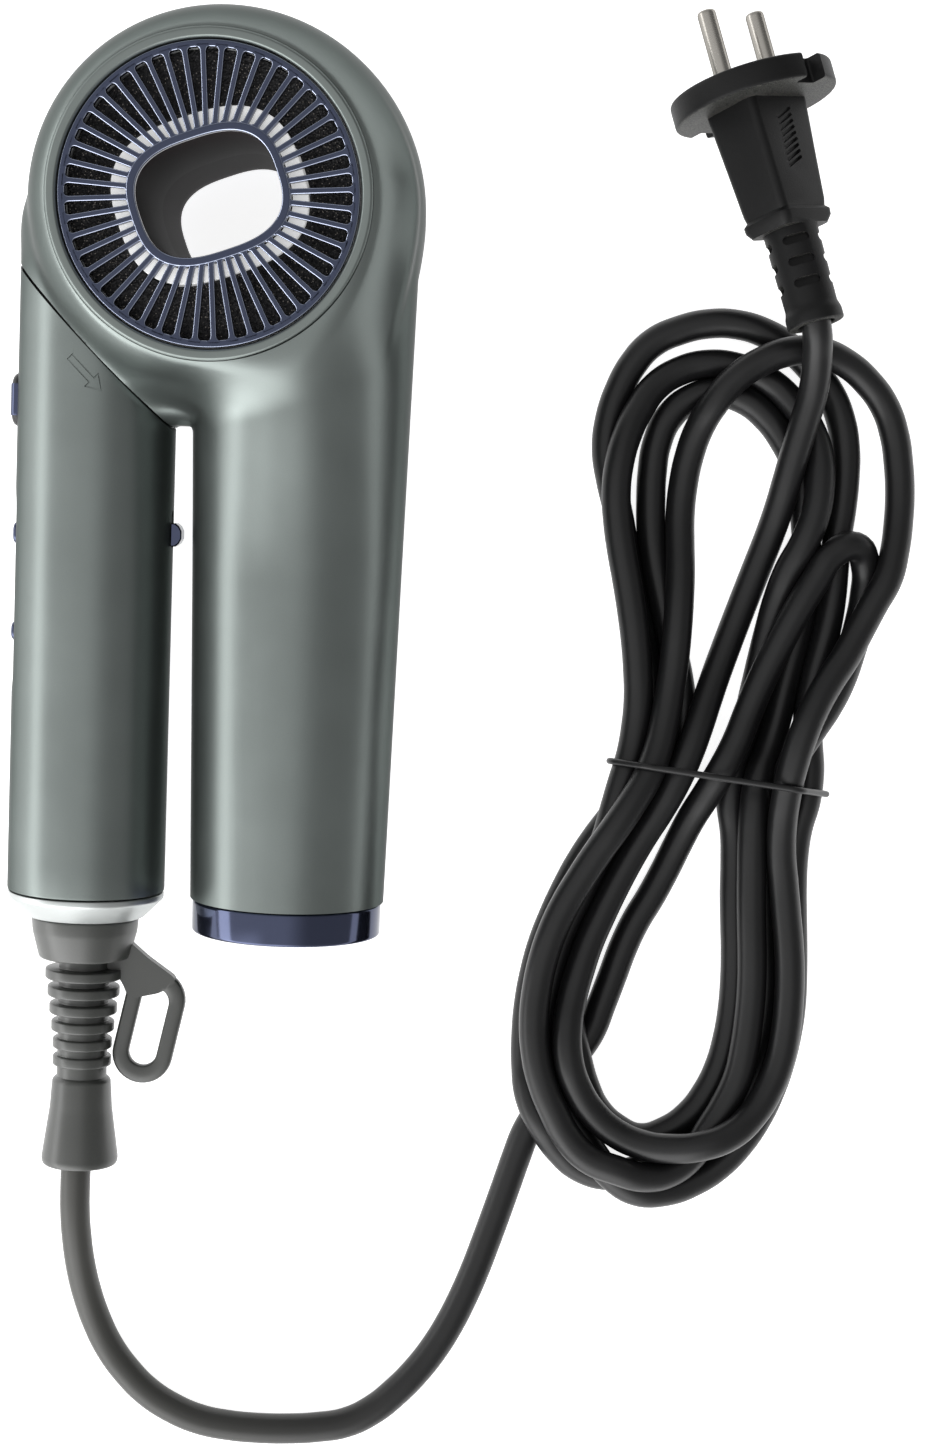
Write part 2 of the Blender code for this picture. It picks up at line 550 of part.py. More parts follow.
def make_electronics(dryer, handle, paint):
    """Board, switches, clamp and screws inside the handle."""
    board_x = HANDLE_X - 0.0071
    top, bottom = -0.0440, -0.1580
    board = box("main_pcb", (board_x, bottom, -0.012), (board_x + 0.0016, top, 0.012),
                material=paint["pcb"], parent=dryer)
    tray_x = board_x + 0.0016 + GAP
    tray = box("pcb_carrier", (tray_x, bottom - 0.002, -0.0125), (tray_x + 0.002, top - 0.003, 0.0125),
               bevel=0.0004, material=paint["black_plastic"], parent=dryer)
    screw = [(0, 0), (0.0020, 0), (0.0020, 0.0013), (0.0010, 0.0013), (0.0010, 0.0060), (0, 0.0060)]
    hole = [(0, -0.002), (0.0013, -0.002), (0.0013, 0.008), (0, 0.008)]
    for name, y in (("upper", -0.0650), ("lower", -0.1450)):
        place = dict(parent=dryer, location=(board_x - 0.0016, y, 0), rotation=(0, pi / 2, 0))
        turned("pcb_screw_" + name, screw, SMALL, material=paint["steel"], **place)
        boolean(board, turned("board_hole_" + name, hole, SMALL, **place))
        boolean(tray, turned("tray_hole_" + name, hole, SMALL, **place))
    for name, y in (("heat_switch", HEAT_Y), ("speed_switch", SPEED_Y)):
        box(name, (board_x - 0.0040, y - 0.003, -0.003), (board_x - GAP, y + 0.003, 0.003), bevel=0.0003,
            material=paint["black_plastic"], parent=dryer)
    box("cool_shot_switch", (board_x - 0.0052, COOL_Y - 0.005, -0.0032),
        (board_x - GAP, COOL_Y + 0.004, 0.0032), bevel=0.0003, material=paint["black_plastic"], parent=dryer)
    box("power_switch", (HANDLE_X + 0.0100, -0.0880, -0.004), (HANDLE_X + 0.0152, -0.0730, 0.004),
        bevel=0.0003, material=paint["steel"], parent=dryer)
    box("switch_board", (HANDLE_X + 0.0081, -0.0930, -0.008), (HANDLE_X + 0.0097, -0.0690, 0.008),
        material=paint["pcb"], parent=dryer)

    clamp = box("cord_clamp", (-0.0115, -0.0050, 0.1640), (0.0115, 0.0050, 0.1726), bevel=0.0006,
                material=paint["black_plastic"], parent=handle)
    bore = [(0, 0.150), (CORD_RADIUS + GAP, 0.150), (CORD_RADIUS + GAP, 0.180), (0, 0.180)]
    boolean(clamp, turned("clamp_bore", bore, PLAIN, parent=handle))
    shank = [(0, 0.1617), (0.0022, 0.1617), (0.0022, 0.1637), (0.0011, 0.1637), (0.0011, 0.1765), (0, 0.1765)]
    clear = [(0, 0.160), (0.0015, 0.160), (0.0015, 0.175), (0, 0.175)]
    for name, x in (("left", -0.0085), ("right", 0.0085)):
        turned("clamp_screw_" + name, shank, SMALL, material=paint["steel"], parent=handle,
               location=(x, 0, 0))
        boolean(clamp, turned("clamp_hole_" + name, clear, SMALL, parent=handle, location=(x, 0, 0)))
    lead = [(0, 0.1608), (CORD_RADIUS, 0.1608), (CORD_RADIUS, 0.1735), (0, 0.1735)]
    turned("lead_inner_end", lead, SMALL, material=paint["cord_black"], parent=handle)


def make_strain_relief(handle, paint):
    """Ribbed rubber sleeve with a bell mouth and a flat hanging loop moulded to its collar."""
    profile = [(0, 0.1740), (0.0062, 0.1740), (0.0062, CAP_END + GAP), (0.0137, CAP_END + GAP),
               (0.0134, 0.1830), (0.0113, 0.1910), (0.0064, 0.1910)]
    rib_radii = (0.0099, 0.00925, 0.0087, 0.0081, 0.0076, 0.0075)
    pitch, thickness = 0.00455, 0.0026
    for i, radius in enumerate(rib_radii):
        start = 0.1935 + i * pitch
        stop = start + thickness
        profile += [(0.0064, start), (radius, start), (radius, stop), (0.0064, stop)]
    bell = 0.2222
    profile += [(0.0064, bell), (0.0075, bell), (0.0080, 0.2300), (0.0099, RELIEF_END - 0.0015),
                (0.0094, RELIEF_END), (0, RELIEF_END)]
    relief = turned("strain_relief", profile, 16, material=paint["relief_grey"], parent=handle)

    tilt = radians(12)
    centre = Vector((0.0172, 0.2082))
    plate_half = 0.0015

    def tilted(outline):
        return [(centre.x + x * cos(tilt) - y * sin(tilt), centre.y + x * sin(tilt) + y * cos(tilt))
                for x, y in outline]

    flat = dict(parent=handle, rotation=(-pi / 2, 0, 0))
    outer = [(x, -y) for x, y in tilted(capsule(0.0300, 0.0155))]
    inner = [(x, -y) for x, y in tilted(capsule(0.0206, 0.0072))]
    loop = prism("loop_outer", outer, -plate_half, plate_half, **flat)
    arm = [(0.0050, -0.1865), (0.0115, -0.1865), (0.0180, -0.1930), (0.0235, -0.1965), (0.0120, -0.2020),
           (0.0098, -0.1960), (0.0050, -0.1905)]
    boolean(loop, prism("loop_arm", arm, -plate_half, plate_half, **flat), "UNION")
    boolean(loop, prism("loop_slot", inner, -0.010, 0.010, **flat))
    boolean(relief, loop, "UNION")
    return relief


# ---- cord and plug ------------------------------------------------------------------------------

def make_cord(paint):
    """The cord's free stretch, the tied hank and its tie, as they lie on the floor."""
    tube("cord", smooth_route(CORD_ROUTE, CORD_SPACING), CORD_RADIUS, paint["cord_black"])
    outline = smooth_route([(x, y, 0) for x, y in HANK_OUTLINE], 0.012, closed=True)[:-1]
    prism("cord_hank", [(p.x, p.y) for p in outline], 0, HANK_HEIGHT, material=paint["cord_black"])
    (x0, y0), (x1, y1) = TIE_ENDS
    foot = TIE_RADIUS + GAP
    top = HANK_HEIGHT + TIE_RADIUS + 2 * GAP
    staple = [(x0, y0, foot), (x0, y0, top), (x1, y1, top), (x1, y1, foot)]
    tube("cord_tie", [Vector(p) for p in staple], TIE_RADIUS, paint["cord_black"])


def make_plug(paint):
    """Two-pin plug lying on the rim of its flange, with the rear end on the hank's side."""
    axis = add_empty("plug_axis", None, PLUG_FACE, (pi / 2 - PLUG_SLOPE, 0, PLUG_YAW))
    plug = add_empty("plug_roll", axis, (0, 0, 0), (0, 0, PLUG_ROLL))
    flange = [(0, 0), (0.0205, 0), (0.0213, 0.0010), (0.0213, 0.0055), (0.0205, 0.0065), (0, 0.0065)]
    body = turned("plug_body", flange, PLAIN, material=paint["black_plastic"], parent=plug)
    boolean(body, taper("plug_grip", (0.0228, 0.0165), (0.0176, 0.0140), 0.0040, 0.0360, bevel=0.0015,
                        parent=plug), "UNION")
    boolean(body, taper("plug_collar", (0.0196, 0.0156), (0.0176, 0.0136), 0.0350, 0.0395, bevel=0.0015,
                        parent=plug), "UNION")
    sleeve = [(0, 0.0380), (0.0071, 0.0380), (0.0068, 0.0600), (0.0074, 0.0625), (0.0072, PLUG_LENGTH),
              (0, PLUG_LENGTH)]
    boolean(body, turned("plug_sleeve", sleeve, SMALL, parent=plug), "UNION")
    for side in (-1, 1):
        notch = box("earth_notch", (-0.0035, -0.0030, -0.001), (0.0035, 0.0030, 0.008), parent=plug,
                    location=(0, side * 0.0198, 0))
        boolean(body, notch)
    socket = [(0, -0.001), (PIN_RADIUS + GAP, -0.001), (PIN_RADIUS + GAP, 0.0060), (0, 0.0060)]
    pin = [(0, -PIN_LENGTH), (0.0014, -PIN_LENGTH + 0.0003), (PIN_RADIUS, -PIN_LENGTH + 0.0018),
           (PIN_RADIUS, 0.0056), (0, 0.0056)]
    for name, side in (("plug_pin_upper", -1), ("plug_pin_lower", 1)):
        spot = (side * PIN_SPACING / 2, 0, 0)
        boolean(body, turned("pin_socket", socket, SMALL, parent=plug, location=spot))
        turned(name, pin, SMALL, material=paint["steel"], parent=plug, location=spot)


# ---- assembly -----------------------------------------------------------------------------------

def make_paint():
    return {
        "shell": principled("shell_satin", (0.220, 0.250, 0.235), 0.38, 0.75),
        "silver": principled("satin_silver", (0.62, 0.65, 0.64), 0.30, 0.90),
        "gunmetal": principled("grille_gunmetal", (0.150, 0.165, 0.235), 0.25, 0.90),
        "blue_chrome": principled("blue_chrome", (0.085, 0.100, 0.170), 0.12, 1.00),
        "white_plastic": principled("white_plastic", (0.85, 0.86, 0.86), 0.45),
        "grey_plastic": principled("grey_plastic", (0.45, 0.46, 0.46), 0.50),
        "foam": principled("filter_foam", (0.012, 0.012, 0.014), 0.95),
        "duct_brown": principled("duct_dark", (0.035, 0.028, 0.026), 0.42),
        "black_plastic": principled("black_plastic", (0.020, 0.020, 0.021), 0.50),
        "rubber": principled("black_rubber", (0.018, 0.018, 0.018), 0.80),
        "relief_grey": principled("relief_grey", (0.060, 0.066, 0.062), 0.55),
        "cord_black": principled("cord_black", (0.014, 0.014, 0.014), 0.50),
        "mica": principled("mica", (0.62, 0.52, 0.36), 0.60),
        "element": principled("heating_wire", (0.55, 0.50, 0.46), 0.35, 1.00),
        "steel": principled("steel", (0.60, 0.60, 0.62), 0.30, 1.00),
        "pcb": principled("circuit_board", (0.030, 0.190, 0.080), 0.45),
    }


def main():
    for obj in list(bpy.data.objects):
        bpy.data.objects.remove(obj, do_unlink=True)
    paint = make_paint()

    down_axis = (pi / 2, 0, 0)                  # turns +Z onto -Y, along barrel and handle
    seam_axis = (pi / 2, 0, radians(-45))       # turns +Z square to the seam, into the handle
    dryer = add_empty("dryer_frame", location=REST, rotation=Euler((PITCH, ROLL, 0)))
    head = add_empty("head_pivot", dryer, SEAM)
    barrel = add_empty("barrel_axis", head, Vector((BARREL_X, 0, 0)) - SEAM, down_axis)
    stub = add_empty("stub_axis", head, Vector((HANDLE_X, 0, 0)) - SEAM, down_axis)
    rotor = add_empty("rotor_axis", barrel, (0, 0, 0.0650))
    head_seam = add_empty("head_seam", head, (0, 0, 0), seam_axis)
    handle = add_empty("handle_axis", dryer, (HANDLE_X, 0, 0), down_axis)
    handle_seam = add_empty("handle_seam", dryer, SEAM, seam_axis)

    make_head_shell("body_shell_front", 1, head, barrel, stub, head_seam, paint["shell"])
    make_head_shell("body_shell_rear", -1, head, barrel, stub, head_seam, paint["shell"])
    make_grille("front", 1, head, paint)
    make_grille("rear", -1, head, paint)
    make_duct(head, paint)
    make_blower(barrel, paint)
    make_impeller(rotor, paint)
    make_heater(barrel, paint)
    make_outlet(barrel, paint)
    make_swivel(head_seam, handle_seam, paint)

    make_handle(dryer, handle, handle_seam, paint)
    make_controls(dryer, paint)
    make_electronics(dryer, handle, paint)
    make_strain_relief(handle, paint)
    make_cord(paint)
    make_plug(paint)


main()
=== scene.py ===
"""Folding hair dryer lying folded on a white table, its cord bound in a loose hank beside it.

The dryer's pieces are shaped in its own frame: origin at the centre of the round head, +X across,
+Y away from the handle, +Z along the head's axis. DRYER places that frame on the table. Metres.
"""
from math import cos, pi, radians, sin, sqrt

import bmesh
import bpy
import numpy as np
from mathutils import Euler, Matrix, Vector, noise


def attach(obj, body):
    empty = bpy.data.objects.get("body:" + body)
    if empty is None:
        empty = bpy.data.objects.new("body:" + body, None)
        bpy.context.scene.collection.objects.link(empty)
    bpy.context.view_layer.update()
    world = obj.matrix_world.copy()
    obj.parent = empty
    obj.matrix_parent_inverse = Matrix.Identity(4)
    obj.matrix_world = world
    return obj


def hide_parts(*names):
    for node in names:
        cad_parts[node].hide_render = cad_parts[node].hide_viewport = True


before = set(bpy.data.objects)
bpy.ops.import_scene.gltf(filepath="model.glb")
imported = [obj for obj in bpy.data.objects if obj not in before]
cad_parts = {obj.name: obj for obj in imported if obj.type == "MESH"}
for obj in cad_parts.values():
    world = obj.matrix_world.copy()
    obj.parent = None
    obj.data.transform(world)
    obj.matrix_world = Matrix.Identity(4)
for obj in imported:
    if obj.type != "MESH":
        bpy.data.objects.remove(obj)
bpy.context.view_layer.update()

# ---- dimensions ---------------------------------------------------------------------------------

GAP = 0.0003                # between pieces that sit next to each other
WALL = 0.0022
SEAM_HALF = 0.00035         # half the width of the visible joint line
NOTHING = 1e-5              # radius of a profile point on the axis

HEAD_RADIUS = 0.049
HEAD_HALF = 0.037           # half the head's thickness
HEAD_OFFSET = 0.0006        # the widest part of the head lies this far towards the barrel
BARREL_SWELL = 0.0072       # the barrel is this much deeper than wide where it leaves the head
STUB_SWELL = 0.009          # and so is the handle's stub above the seam
WEB_CORNER = 0.0105         # rounding of the web that fills the gap between barrel and stub
FILLET = 0.009              # between the drum and the barrel
STUB_FILLET = 0.01
WEB_FILLET = 0.01
SIDE_RISE = 0.04            # half height of the oval that the head's side is part of
FACE_RADIUS = 0.0387        # edge of the flat face on either side of the head

DUCT_LONG = 0.0171
DUCT_SHORT = 0.0135
DUCT_POWER = 2.8
DUCT_TURN = radians(20)

GRILLE_RADIUS = 0.0359
GRILLE_RIBS = 48
GRILLE_DEPTH = 0.0022
GRILLE_FACE = HEAD_HALF - 0.0002
GRILLE_BACK = GRILLE_FACE - GRILLE_DEPTH

# distances along the barrel and the handle are from the head's centre
BARREL_X = 0.0203
BARREL_TOP = 0.002
BARREL_TOP_RADIUS = 0.02828
BARREL_END = 0.1732
BARREL_END_RADIUS = 0.0247
OUTLET_END = 0.1817
OUTLET_RADIUS = 0.0241
HANDLE_X = -0.0315
HANDLE_TOP = 0.005
HANDLE_TOP_RADIUS = 0.0198
HANDLE_END = 0.173
HANDLE_END_RADIUS = 0.02
CAP_END = 0.1797
CAP_END_RADIUS = 0.0146
RELIEF_END = 0.245
SEAM = Vector((HANDLE_X, -0.035, 0.0))

# the controls' places along the handle, as Y in the dryer's frame
COOL_Y = -0.049
SLOT_Y = -0.0802
SLIDER_Y = -0.0815
HEAT_Y = -0.0825
SPEED_Y = -0.1074
SCOOP_Y = -0.0967
STRIP_Y = -0.09845

CORD_RADIUS = 0.0039
TIE_RADIUS = 0.00085
TIE_ENDS = ((0.107, -0.037), (0.156, -0.0425))
PLUG_FACE = (0.1329, 0.1388, 0.022)
PLUG_YAW = radians(17.3)
PLUG_SLOPE = radians(3.0)
PLUG_ROLL = radians(-42.5)
PLUG_LENGTH = 0.0647
PIN_LENGTH = 0.0195
PIN_RADIUS = 0.0024
PIN_SPACING = 0.019

REST = Vector((0.00185, 0.09732, 0.04083))
PITCH = radians(5.56)
ROLL = radians(-1.8)

SAME = Matrix.Identity(4)
DRYER = Matrix.Translation(REST) @ Euler((PITCH, ROLL, 0)).to_matrix().to_4x4()
DOWN = Matrix.Rotation(pi / 2, 4, "X")


def limb_frame(base, x):
    """The frame of the barrel or the handle: its Z runs down the limb."""
    return base @ Matrix.Translation((x, 0, 0)) @ DOWN


def seam_frame(base):
    return base @ Matrix.Translation(SEAM) @ Euler((pi / 2, 0, radians(-45))).to_matrix().to_4x4()


def side_frame(quarter):
    """Its Z points out of the handle's left side (-1) or right side (1)."""
    return DRYER @ Matrix.Translation((HANDLE_X, 0, 0)) @ Matrix.Rotation(quarter * pi / 2, 4, "Y")


BARREL = limb_frame(DRYER, BARREL_X)
HANDLE = limb_frame(DRYER, HANDLE_X)
SEAM_FRAME = seam_frame(DRYER)
LEFT = side_frame(-1)
RIGHT = side_frame(1)
PLUG = (Matrix.Translation(PLUG_FACE) @ Euler((pi / 2 - PLUG_SLOPE, 0, PLUG_YAW)).to_matrix().to_4x4()
        @ Matrix.Rotation(PLUG_ROLL, 4, "Z"))


# ---- materials ----------------------------------------------------------------------------------

COAT_ROUGHNESS = 0.08
COARSE_SCALE = 55.0         # waves of the slow variation, per metre
TONE_SPREAD = 3             # how far the colour ramp's ends lie from the mean, in tints
# colour of the painted glints on the foam
GLINT_TONE = (0.3, 0.27, 0.24)
# colour of the painted highlight on the grille's bevels
BEVEL_HIGHLIGHT_TONE = (0.42, 0.46, 0.58)
SPECKLE_TONE = (0.055, 0.055, 0.05)
# colour of the painted sheen on the cord by the strain relief
PAINTED_SHEEN_TONE = (0.044, 0.044, 0.04)


def grow(tree, kind, sockets, operation=None):
    """Add a shader node. Each socket gets a value, or a link from another node's output."""
    made = tree.nodes.new("ShaderNode" + kind)
    if operation:
        made.operation = operation
    for key, value in sockets.items():
        if isinstance(value, bpy.types.NodeSocket):
            tree.links.new(value, made.inputs[key])
        else:
            made.inputs[key].default_value = value
    return made


def remap(tree, value, start, stop, first=0.0, last=1.0, smooth_step=False):
    """The value, moved from the range start to stop onto the range first to last."""
    made = grow(tree, "MapRange", {"Value": value, "From Min": start, "From Max": stop,
                                   "To Min": first, "To Max": last})
    if smooth_step:
        made.interpolation_type = "SMOOTHSTEP"
    return made.outputs["Result"]


def maths(tree, operation, *values):
    return grow(tree, "Math", dict(enumerate(values)), operation).outputs["Value"]


def surface(name, colour, roughness, metallic=0.0, tint=0.06, grain=900, bump=0.05, depth=0.0001,
            rough_spread=0.06, clear=0.0, specular=0.5, cells=False, edge=1.0, glow=0.0, painted_glint_scale=0,
            painted_sheen=False, dusty=None, painted_bevel_highlight=None):
    """A Principled material whose colour, roughness and height vary with a fine and a coarse pattern."""
    material = bpy.data.materials.new(name)
    material.use_nodes = True
    tree = material.node_tree
    shader = tree.nodes["Principled BSDF"]
    for socket, value in (("Metallic", metallic), ("Coat Weight", clear),
                          ("Coat Roughness", COAT_ROUGHNESS), ("Specular IOR Level", specular),
                          ("Specular Tint", (edge, edge, edge, 1)),
                          ("Emission Color", (1, 1, 1, 1)), ("Emission Strength", glow)):
        shader.inputs[socket].default_value = value

    where = tree.nodes.new("ShaderNodeTexCoord").outputs
    coarse = grow(tree, "TexNoise", {"Vector": where["Object"], "Scale": COARSE_SCALE, "Detail": 4.0})
    if cells:
        fine = grow(tree, "TexVoronoi", {"Vector": where["Object"], "Scale": grain}).outputs["Distance"]
    else:
        fine = grow(tree, "TexNoise", {"Vector": where["Object"], "Scale": grain, "Detail": 5.0,
                                       "Roughness": 0.62}).outputs["Fac"]
    pattern = grow(tree, "Mix", {"Factor": 0.5, "A": coarse.outputs["Fac"], "B": fine}).outputs["Result"]

    ramp = grow(tree, "ValToRGB", {"Fac": pattern})
    for stop, position, side in zip(ramp.color_ramp.elements, (0.15, 0.85), (-1, 1)):
        stop.position = position
        stop.color = (*(min(1.0, max(0.0, c * (1 + side * TONE_SPREAD * tint))) for c in colour), 1)
    tone = ramp.outputs["Color"]

    def over(base, share, layer_tone):
        layer = tree.nodes.new("ShaderNodeMix")
        layer.data_type = "RGBA"
        tree.links.new(share, layer.inputs[0])
        tree.links.new(base, layer.inputs[6])
        layer.inputs[7].default_value = (*layer_tone, 1)
        return layer.outputs[2]

    def towards(axis):
        """How far the surface faces along an axis of the object."""
        return grow(tree, "VectorMath", {0: where["Normal"], 1: axis}, "DOT_PRODUCT").outputs["Value"]

    if painted_glint_scale:
        # painted glints: lighter specks on the open cells
        glint = grow(tree, "TexVoronoi", {"Vector": where["Object"], "Scale": painted_glint_scale}).outputs["Distance"]
        tone = over(tone, remap(tree, glint, 0.24, 0.12), GLINT_TONE)
    if painted_bevel_highlight:
        # painted highlight on the bevels: lighter where the surface is neither square to that axis nor
        # along it
        size = maths(tree, "ABSOLUTE", towards(painted_bevel_highlight))
        share = maths(tree, "MULTIPLY", remap(tree, size, 0.96, 0.8), remap(tree, size, 0.15, 0.45))
        tone = over(tone, share, BEVEL_HIGHLIGHT_TONE)
    if dusty:
        # faces turned to that side carry a coarse grey speckle
        speckle = grow(tree, "TexNoise", {"Vector": where["Object"], "Scale": 2600.0, "Detail": 2.0})
        share = maths(tree, "MULTIPLY", remap(tree, towards(dusty), 0.65, 0.97),
                      remap(tree, speckle.outputs["Fac"], 0.4, 0.62))
        tone = over(tone, share, SPECKLE_TONE)
    if painted_sheen:
        # painted sheen: the stretch by the strain relief is lighter
        axes = grow(tree, "SeparateXYZ", {"Vector": where["Object"]})
        tone = over(tone, remap(tree, axes.outputs["X"], 0.06, -0.03), PAINTED_SHEEN_TONE)
    tree.links.new(tone, shader.inputs["Base Color"])

    rough = remap(tree, pattern, 0.0, 1.0, max(0.02, roughness - rough_spread),
                  min(1.0, roughness + rough_spread))
    tree.links.new(rough, shader.inputs["Roughness"])
    relief = grow(tree, "Bump", {"Strength": bump, "Distance": depth, "Height": fine})
    tree.links.new(relief.outputs["Normal"], shader.inputs["Normal"])
    return material


FINISHES = {
    "shell_satin": dict(colour=(0.16, 0.18, 0.173), roughness=0.33, metallic=0.88, tint=0.05,
                        grain=5200, bump=0.1, depth=0.00004, edge=0.25),
    "satin_silver": dict(colour=(0.43, 0.45, 0.445), roughness=0.36, metallic=0.92, tint=0.02,
                         grain=4200, depth=0.00003),
    # the grille's bevels carry a painted highlight
    "grille_gunmetal": dict(colour=(0.042, 0.05, 0.082), roughness=0.2, metallic=0.92, tint=0.05,
                            grain=2600, bump=0.06, depth=0.00003, clear=0.1,
                            painted_bevel_highlight=DRYER.to_3x3() @ Vector((0, 0, 1))),
    "blue_chrome": dict(colour=(0.052, 0.061, 0.105), roughness=0.12, metallic=0.95, tint=0.03,
                        grain=1500, bump=0.03, depth=0.00002, rough_spread=0.03, clear=0.2, edge=0.7),
    # the white ring glows a little: painted light that lifts it out of the grille's shade
    "white_plastic": dict(colour=(0.86, 0.87, 0.87), roughness=0.45, tint=0.02, grain=2500, glow=0.35),
    "grey_plastic": dict(colour=(0.42, 0.43, 0.43), roughness=0.5, tint=0.04, grain=2500),
    # the foam's lighter specks are painted glints
    "filter_foam": dict(colour=(0.01, 0.01, 0.011), roughness=0.6, tint=0.25, grain=1500, bump=0.9,
                        depth=0.0006, cells=True, rough_spread=0.25, painted_glint_scale=1300),
    "duct_dark": dict(colour=(0.012, 0.0085, 0.009), roughness=0.58, tint=0.1, grain=2600, bump=0.1,
                      specular=0.08),
    "black_plastic": dict(colour=(0.007, 0.007, 0.0075), roughness=0.4, tint=0.12, grain=2600,
                          bump=0.16, specular=0.35),
    "black_rubber": dict(colour=(0.014, 0.014, 0.014), roughness=0.72, tint=0.12, grain=2600, bump=0.2),
    "relief_grey": dict(colour=(0.03, 0.032, 0.029), roughness=0.36, tint=0.1, grain=2400, bump=0.16,
                        specular=0.7),
    # the cord is lighter by the strain relief: a painted sheen
    "cord_black": dict(colour=(0.005, 0.005, 0.0054), roughness=0.38, tint=0.14, grain=1500,
                       bump=0.16, depth=0.00012, rough_spread=0.08, specular=0.34, painted_sheen=True),
    "mica": dict(colour=(0.6, 0.5, 0.34), roughness=0.55, tint=0.08, grain=800, bump=0.1),
    "heating_wire": dict(colour=(0.5, 0.46, 0.42), roughness=0.38, metallic=1.0, tint=0.05, grain=3000),
    "steel": dict(colour=(0.33, 0.315, 0.29), roughness=0.27, metallic=1.0, tint=0.04, grain=2600,
                  depth=0.00003, edge=0.3),
    "plug_black": dict(colour=(0.0035, 0.0035, 0.0037), roughness=0.5, tint=0.14, grain=2300,
                       bump=0.35, depth=0.00016, specular=0.2, dusty=PLUG.to_3x3() @ Vector((0, 0, 1))),
    "circuit_board": dict(colour=(0.03, 0.17, 0.075), roughness=0.42, tint=0.12, grain=1200),
}
PAINT = {name: surface(name + "_finish", **finish) for name, finish in FINISHES.items()}


# ---- shaping ------------------------------------------------------------------------------------

def add(name, bm, place=DRYER, angle=32, weld=0.0):
    """A smooth-shaded object from a bmesh, its vertices moved into the shared frame."""
    if weld:
        bmesh.ops.remove_doubles(bm, verts=bm.verts, dist=weld)
    bmesh.ops.recalc_face_normals(bm, faces=bm.faces)
    bmesh.ops.transform(bm, matrix=place, verts=bm.verts)
    mesh = bpy.data.meshes.new(name)
    bm.to_mesh(mesh)
    bm.free()
    obj = linked(name, mesh)
    smooth(obj, angle)
    return obj


def linked(name, data):
    obj = bpy.data.objects.new(name, data)
    bpy.context.collection.objects.link(obj)
    return obj


def smooth(obj, angle=32):
    obj.data.shade_smooth()
    obj.data.set_sharp_from_angle(angle=radians(angle))


def wear(obj, skin, body, *nodes):
    """Give the piece its finish and its body, and hide the CAD nodes it stands for."""
    obj.data.materials.clear()
    obj.data.materials.append(PAINT[skin])
    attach(obj, body)
    if nodes:
        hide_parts(*nodes)
    return obj


def bake(obj):
    """Apply the modifiers."""
    shown = obj.evaluated_get(bpy.context.evaluated_depsgraph_get())
    mesh = bpy.data.meshes.new_from_object(shown)
    old = obj.data
    obj.modifiers.clear()
    obj.data = mesh
    bpy.data.meshes.remove(old)


def combine(target, tool, operation="DIFFERENCE", angle=32, solver="MANIFOLD"):
    """Boolean with another object, which is used up."""
    modifier = target.modifiers.new("combine", "BOOLEAN")
    modifier.operation = operation
    modifier.object = tool
    modifier.solver = solver
    bake(target)
    bpy.data.objects.remove(tool)
    smooth(target, angle)


def cut(target, bm, place=DRYER, operation="DIFFERENCE", angle=32, solver="MANIFOLD"):
    """Boolean with a tool that is made from a bmesh."""
    combine(target, add("tool", bm, place), operation, angle, solver)


def stack(rings, loop=False):
    """Skin a row of rings that have the same number of points: closed with loop, otherwise capped."""
    bm = bmesh.new()
    made = [[bm.verts.new(p) for p in ring] for ring in rings]
    count = len(made[0])
    pairs = list(zip(made, made[1:]))
    if loop:
        pairs.append((made[-1], made[0]))
    for first, second in pairs:
        for i in range(count):
            j = (i + 1) % count
            bm.faces.new((first[i], first[j], second[j], second[i]))
    if not loop:
        bm.faces.new(made[0])
        bm.faces.new(made[-1])
    return bm


def lathe(profile, sides=96, loop=False):
    """Spin (radius, height) points about Z: a closed ring with loop, otherwise a capped solid."""
    def circle(radius, height):
        return [(radius * cos(2 * pi * i / sides), radius * sin(2 * pi * i / sides), height)
                for i in range(sides)]

    return stack([circle(max(r, NOTHING), z) for r, z in profile], loop)


def rod(radius, low, high, sides):
    return lathe([(0, low), (radius, low), (radius, high), (0, high)], sides)


def mirrored(profile):
    """The upper half of a lathe profile, and the same upside down."""
    return profile + [(r, -z) for r, z in reversed(profile)]


def rounded(points, radius, steps=4, loop=False):
    """Round the corners of a polyline of (u, v) points."""
    count = len(points)
    out = []
    for i, point in enumerate(points):
        if not loop and i in (0, count - 1):
            out.append(point)
            continue
        here = Vector(point)
        before = Vector(points[i - 1]) - here
        after = Vector(points[(i + 1) % count]) - here
        reach = min(radius, before.length * 0.49, after.length * 0.49)
        start = here + before.normalized() * reach
        end = here + after.normalized() * reach
        for k in range(steps + 1):
            t = k / steps
            out.append(tuple(start * (1 - t) ** 2 + here * 2 * t * (1 - t) + end * t ** 2))
    return out


def box_section(inner, outer, low, high, radius, steps=4):
    """A closed rectangular outline with rounded corners."""
    corners = [(inner, low), (outer, low), (outer, high), (inner, high)]
    return rounded(corners, radius, steps, loop=True)


def capsule(length, width, steps=16):
    """Outline of a slot with round ends, its long side along Y."""
    radius = width / 2
    straight = length / 2 - radius
    arc = [pi * i / steps for i in range(steps + 1)]
    return ([(radius * cos(a), straight + radius * sin(a)) for a in arc]
            + [(-radius * cos(a), -straight - radius * sin(a)) for a in arc])


def pill(length, width, low, high, edge=0.0001, y=0, steps=5):
    """A solid with a slot's outline and a rounded upper rim."""
    rows = [(0, low)]
    for k in range(steps + 1):
        a = pi / 2 * k / steps
        rows.append((edge * (1 - cos(a)), high - edge + edge * sin(a)))

    def ring(inset, height):
        outline = capsule(length - 2 * inset, max(width - 2 * inset, NOTHING))
        return [(u, y + v, height) for u, v in outline]

    return stack([ring(inset, height) for inset, height in rows])


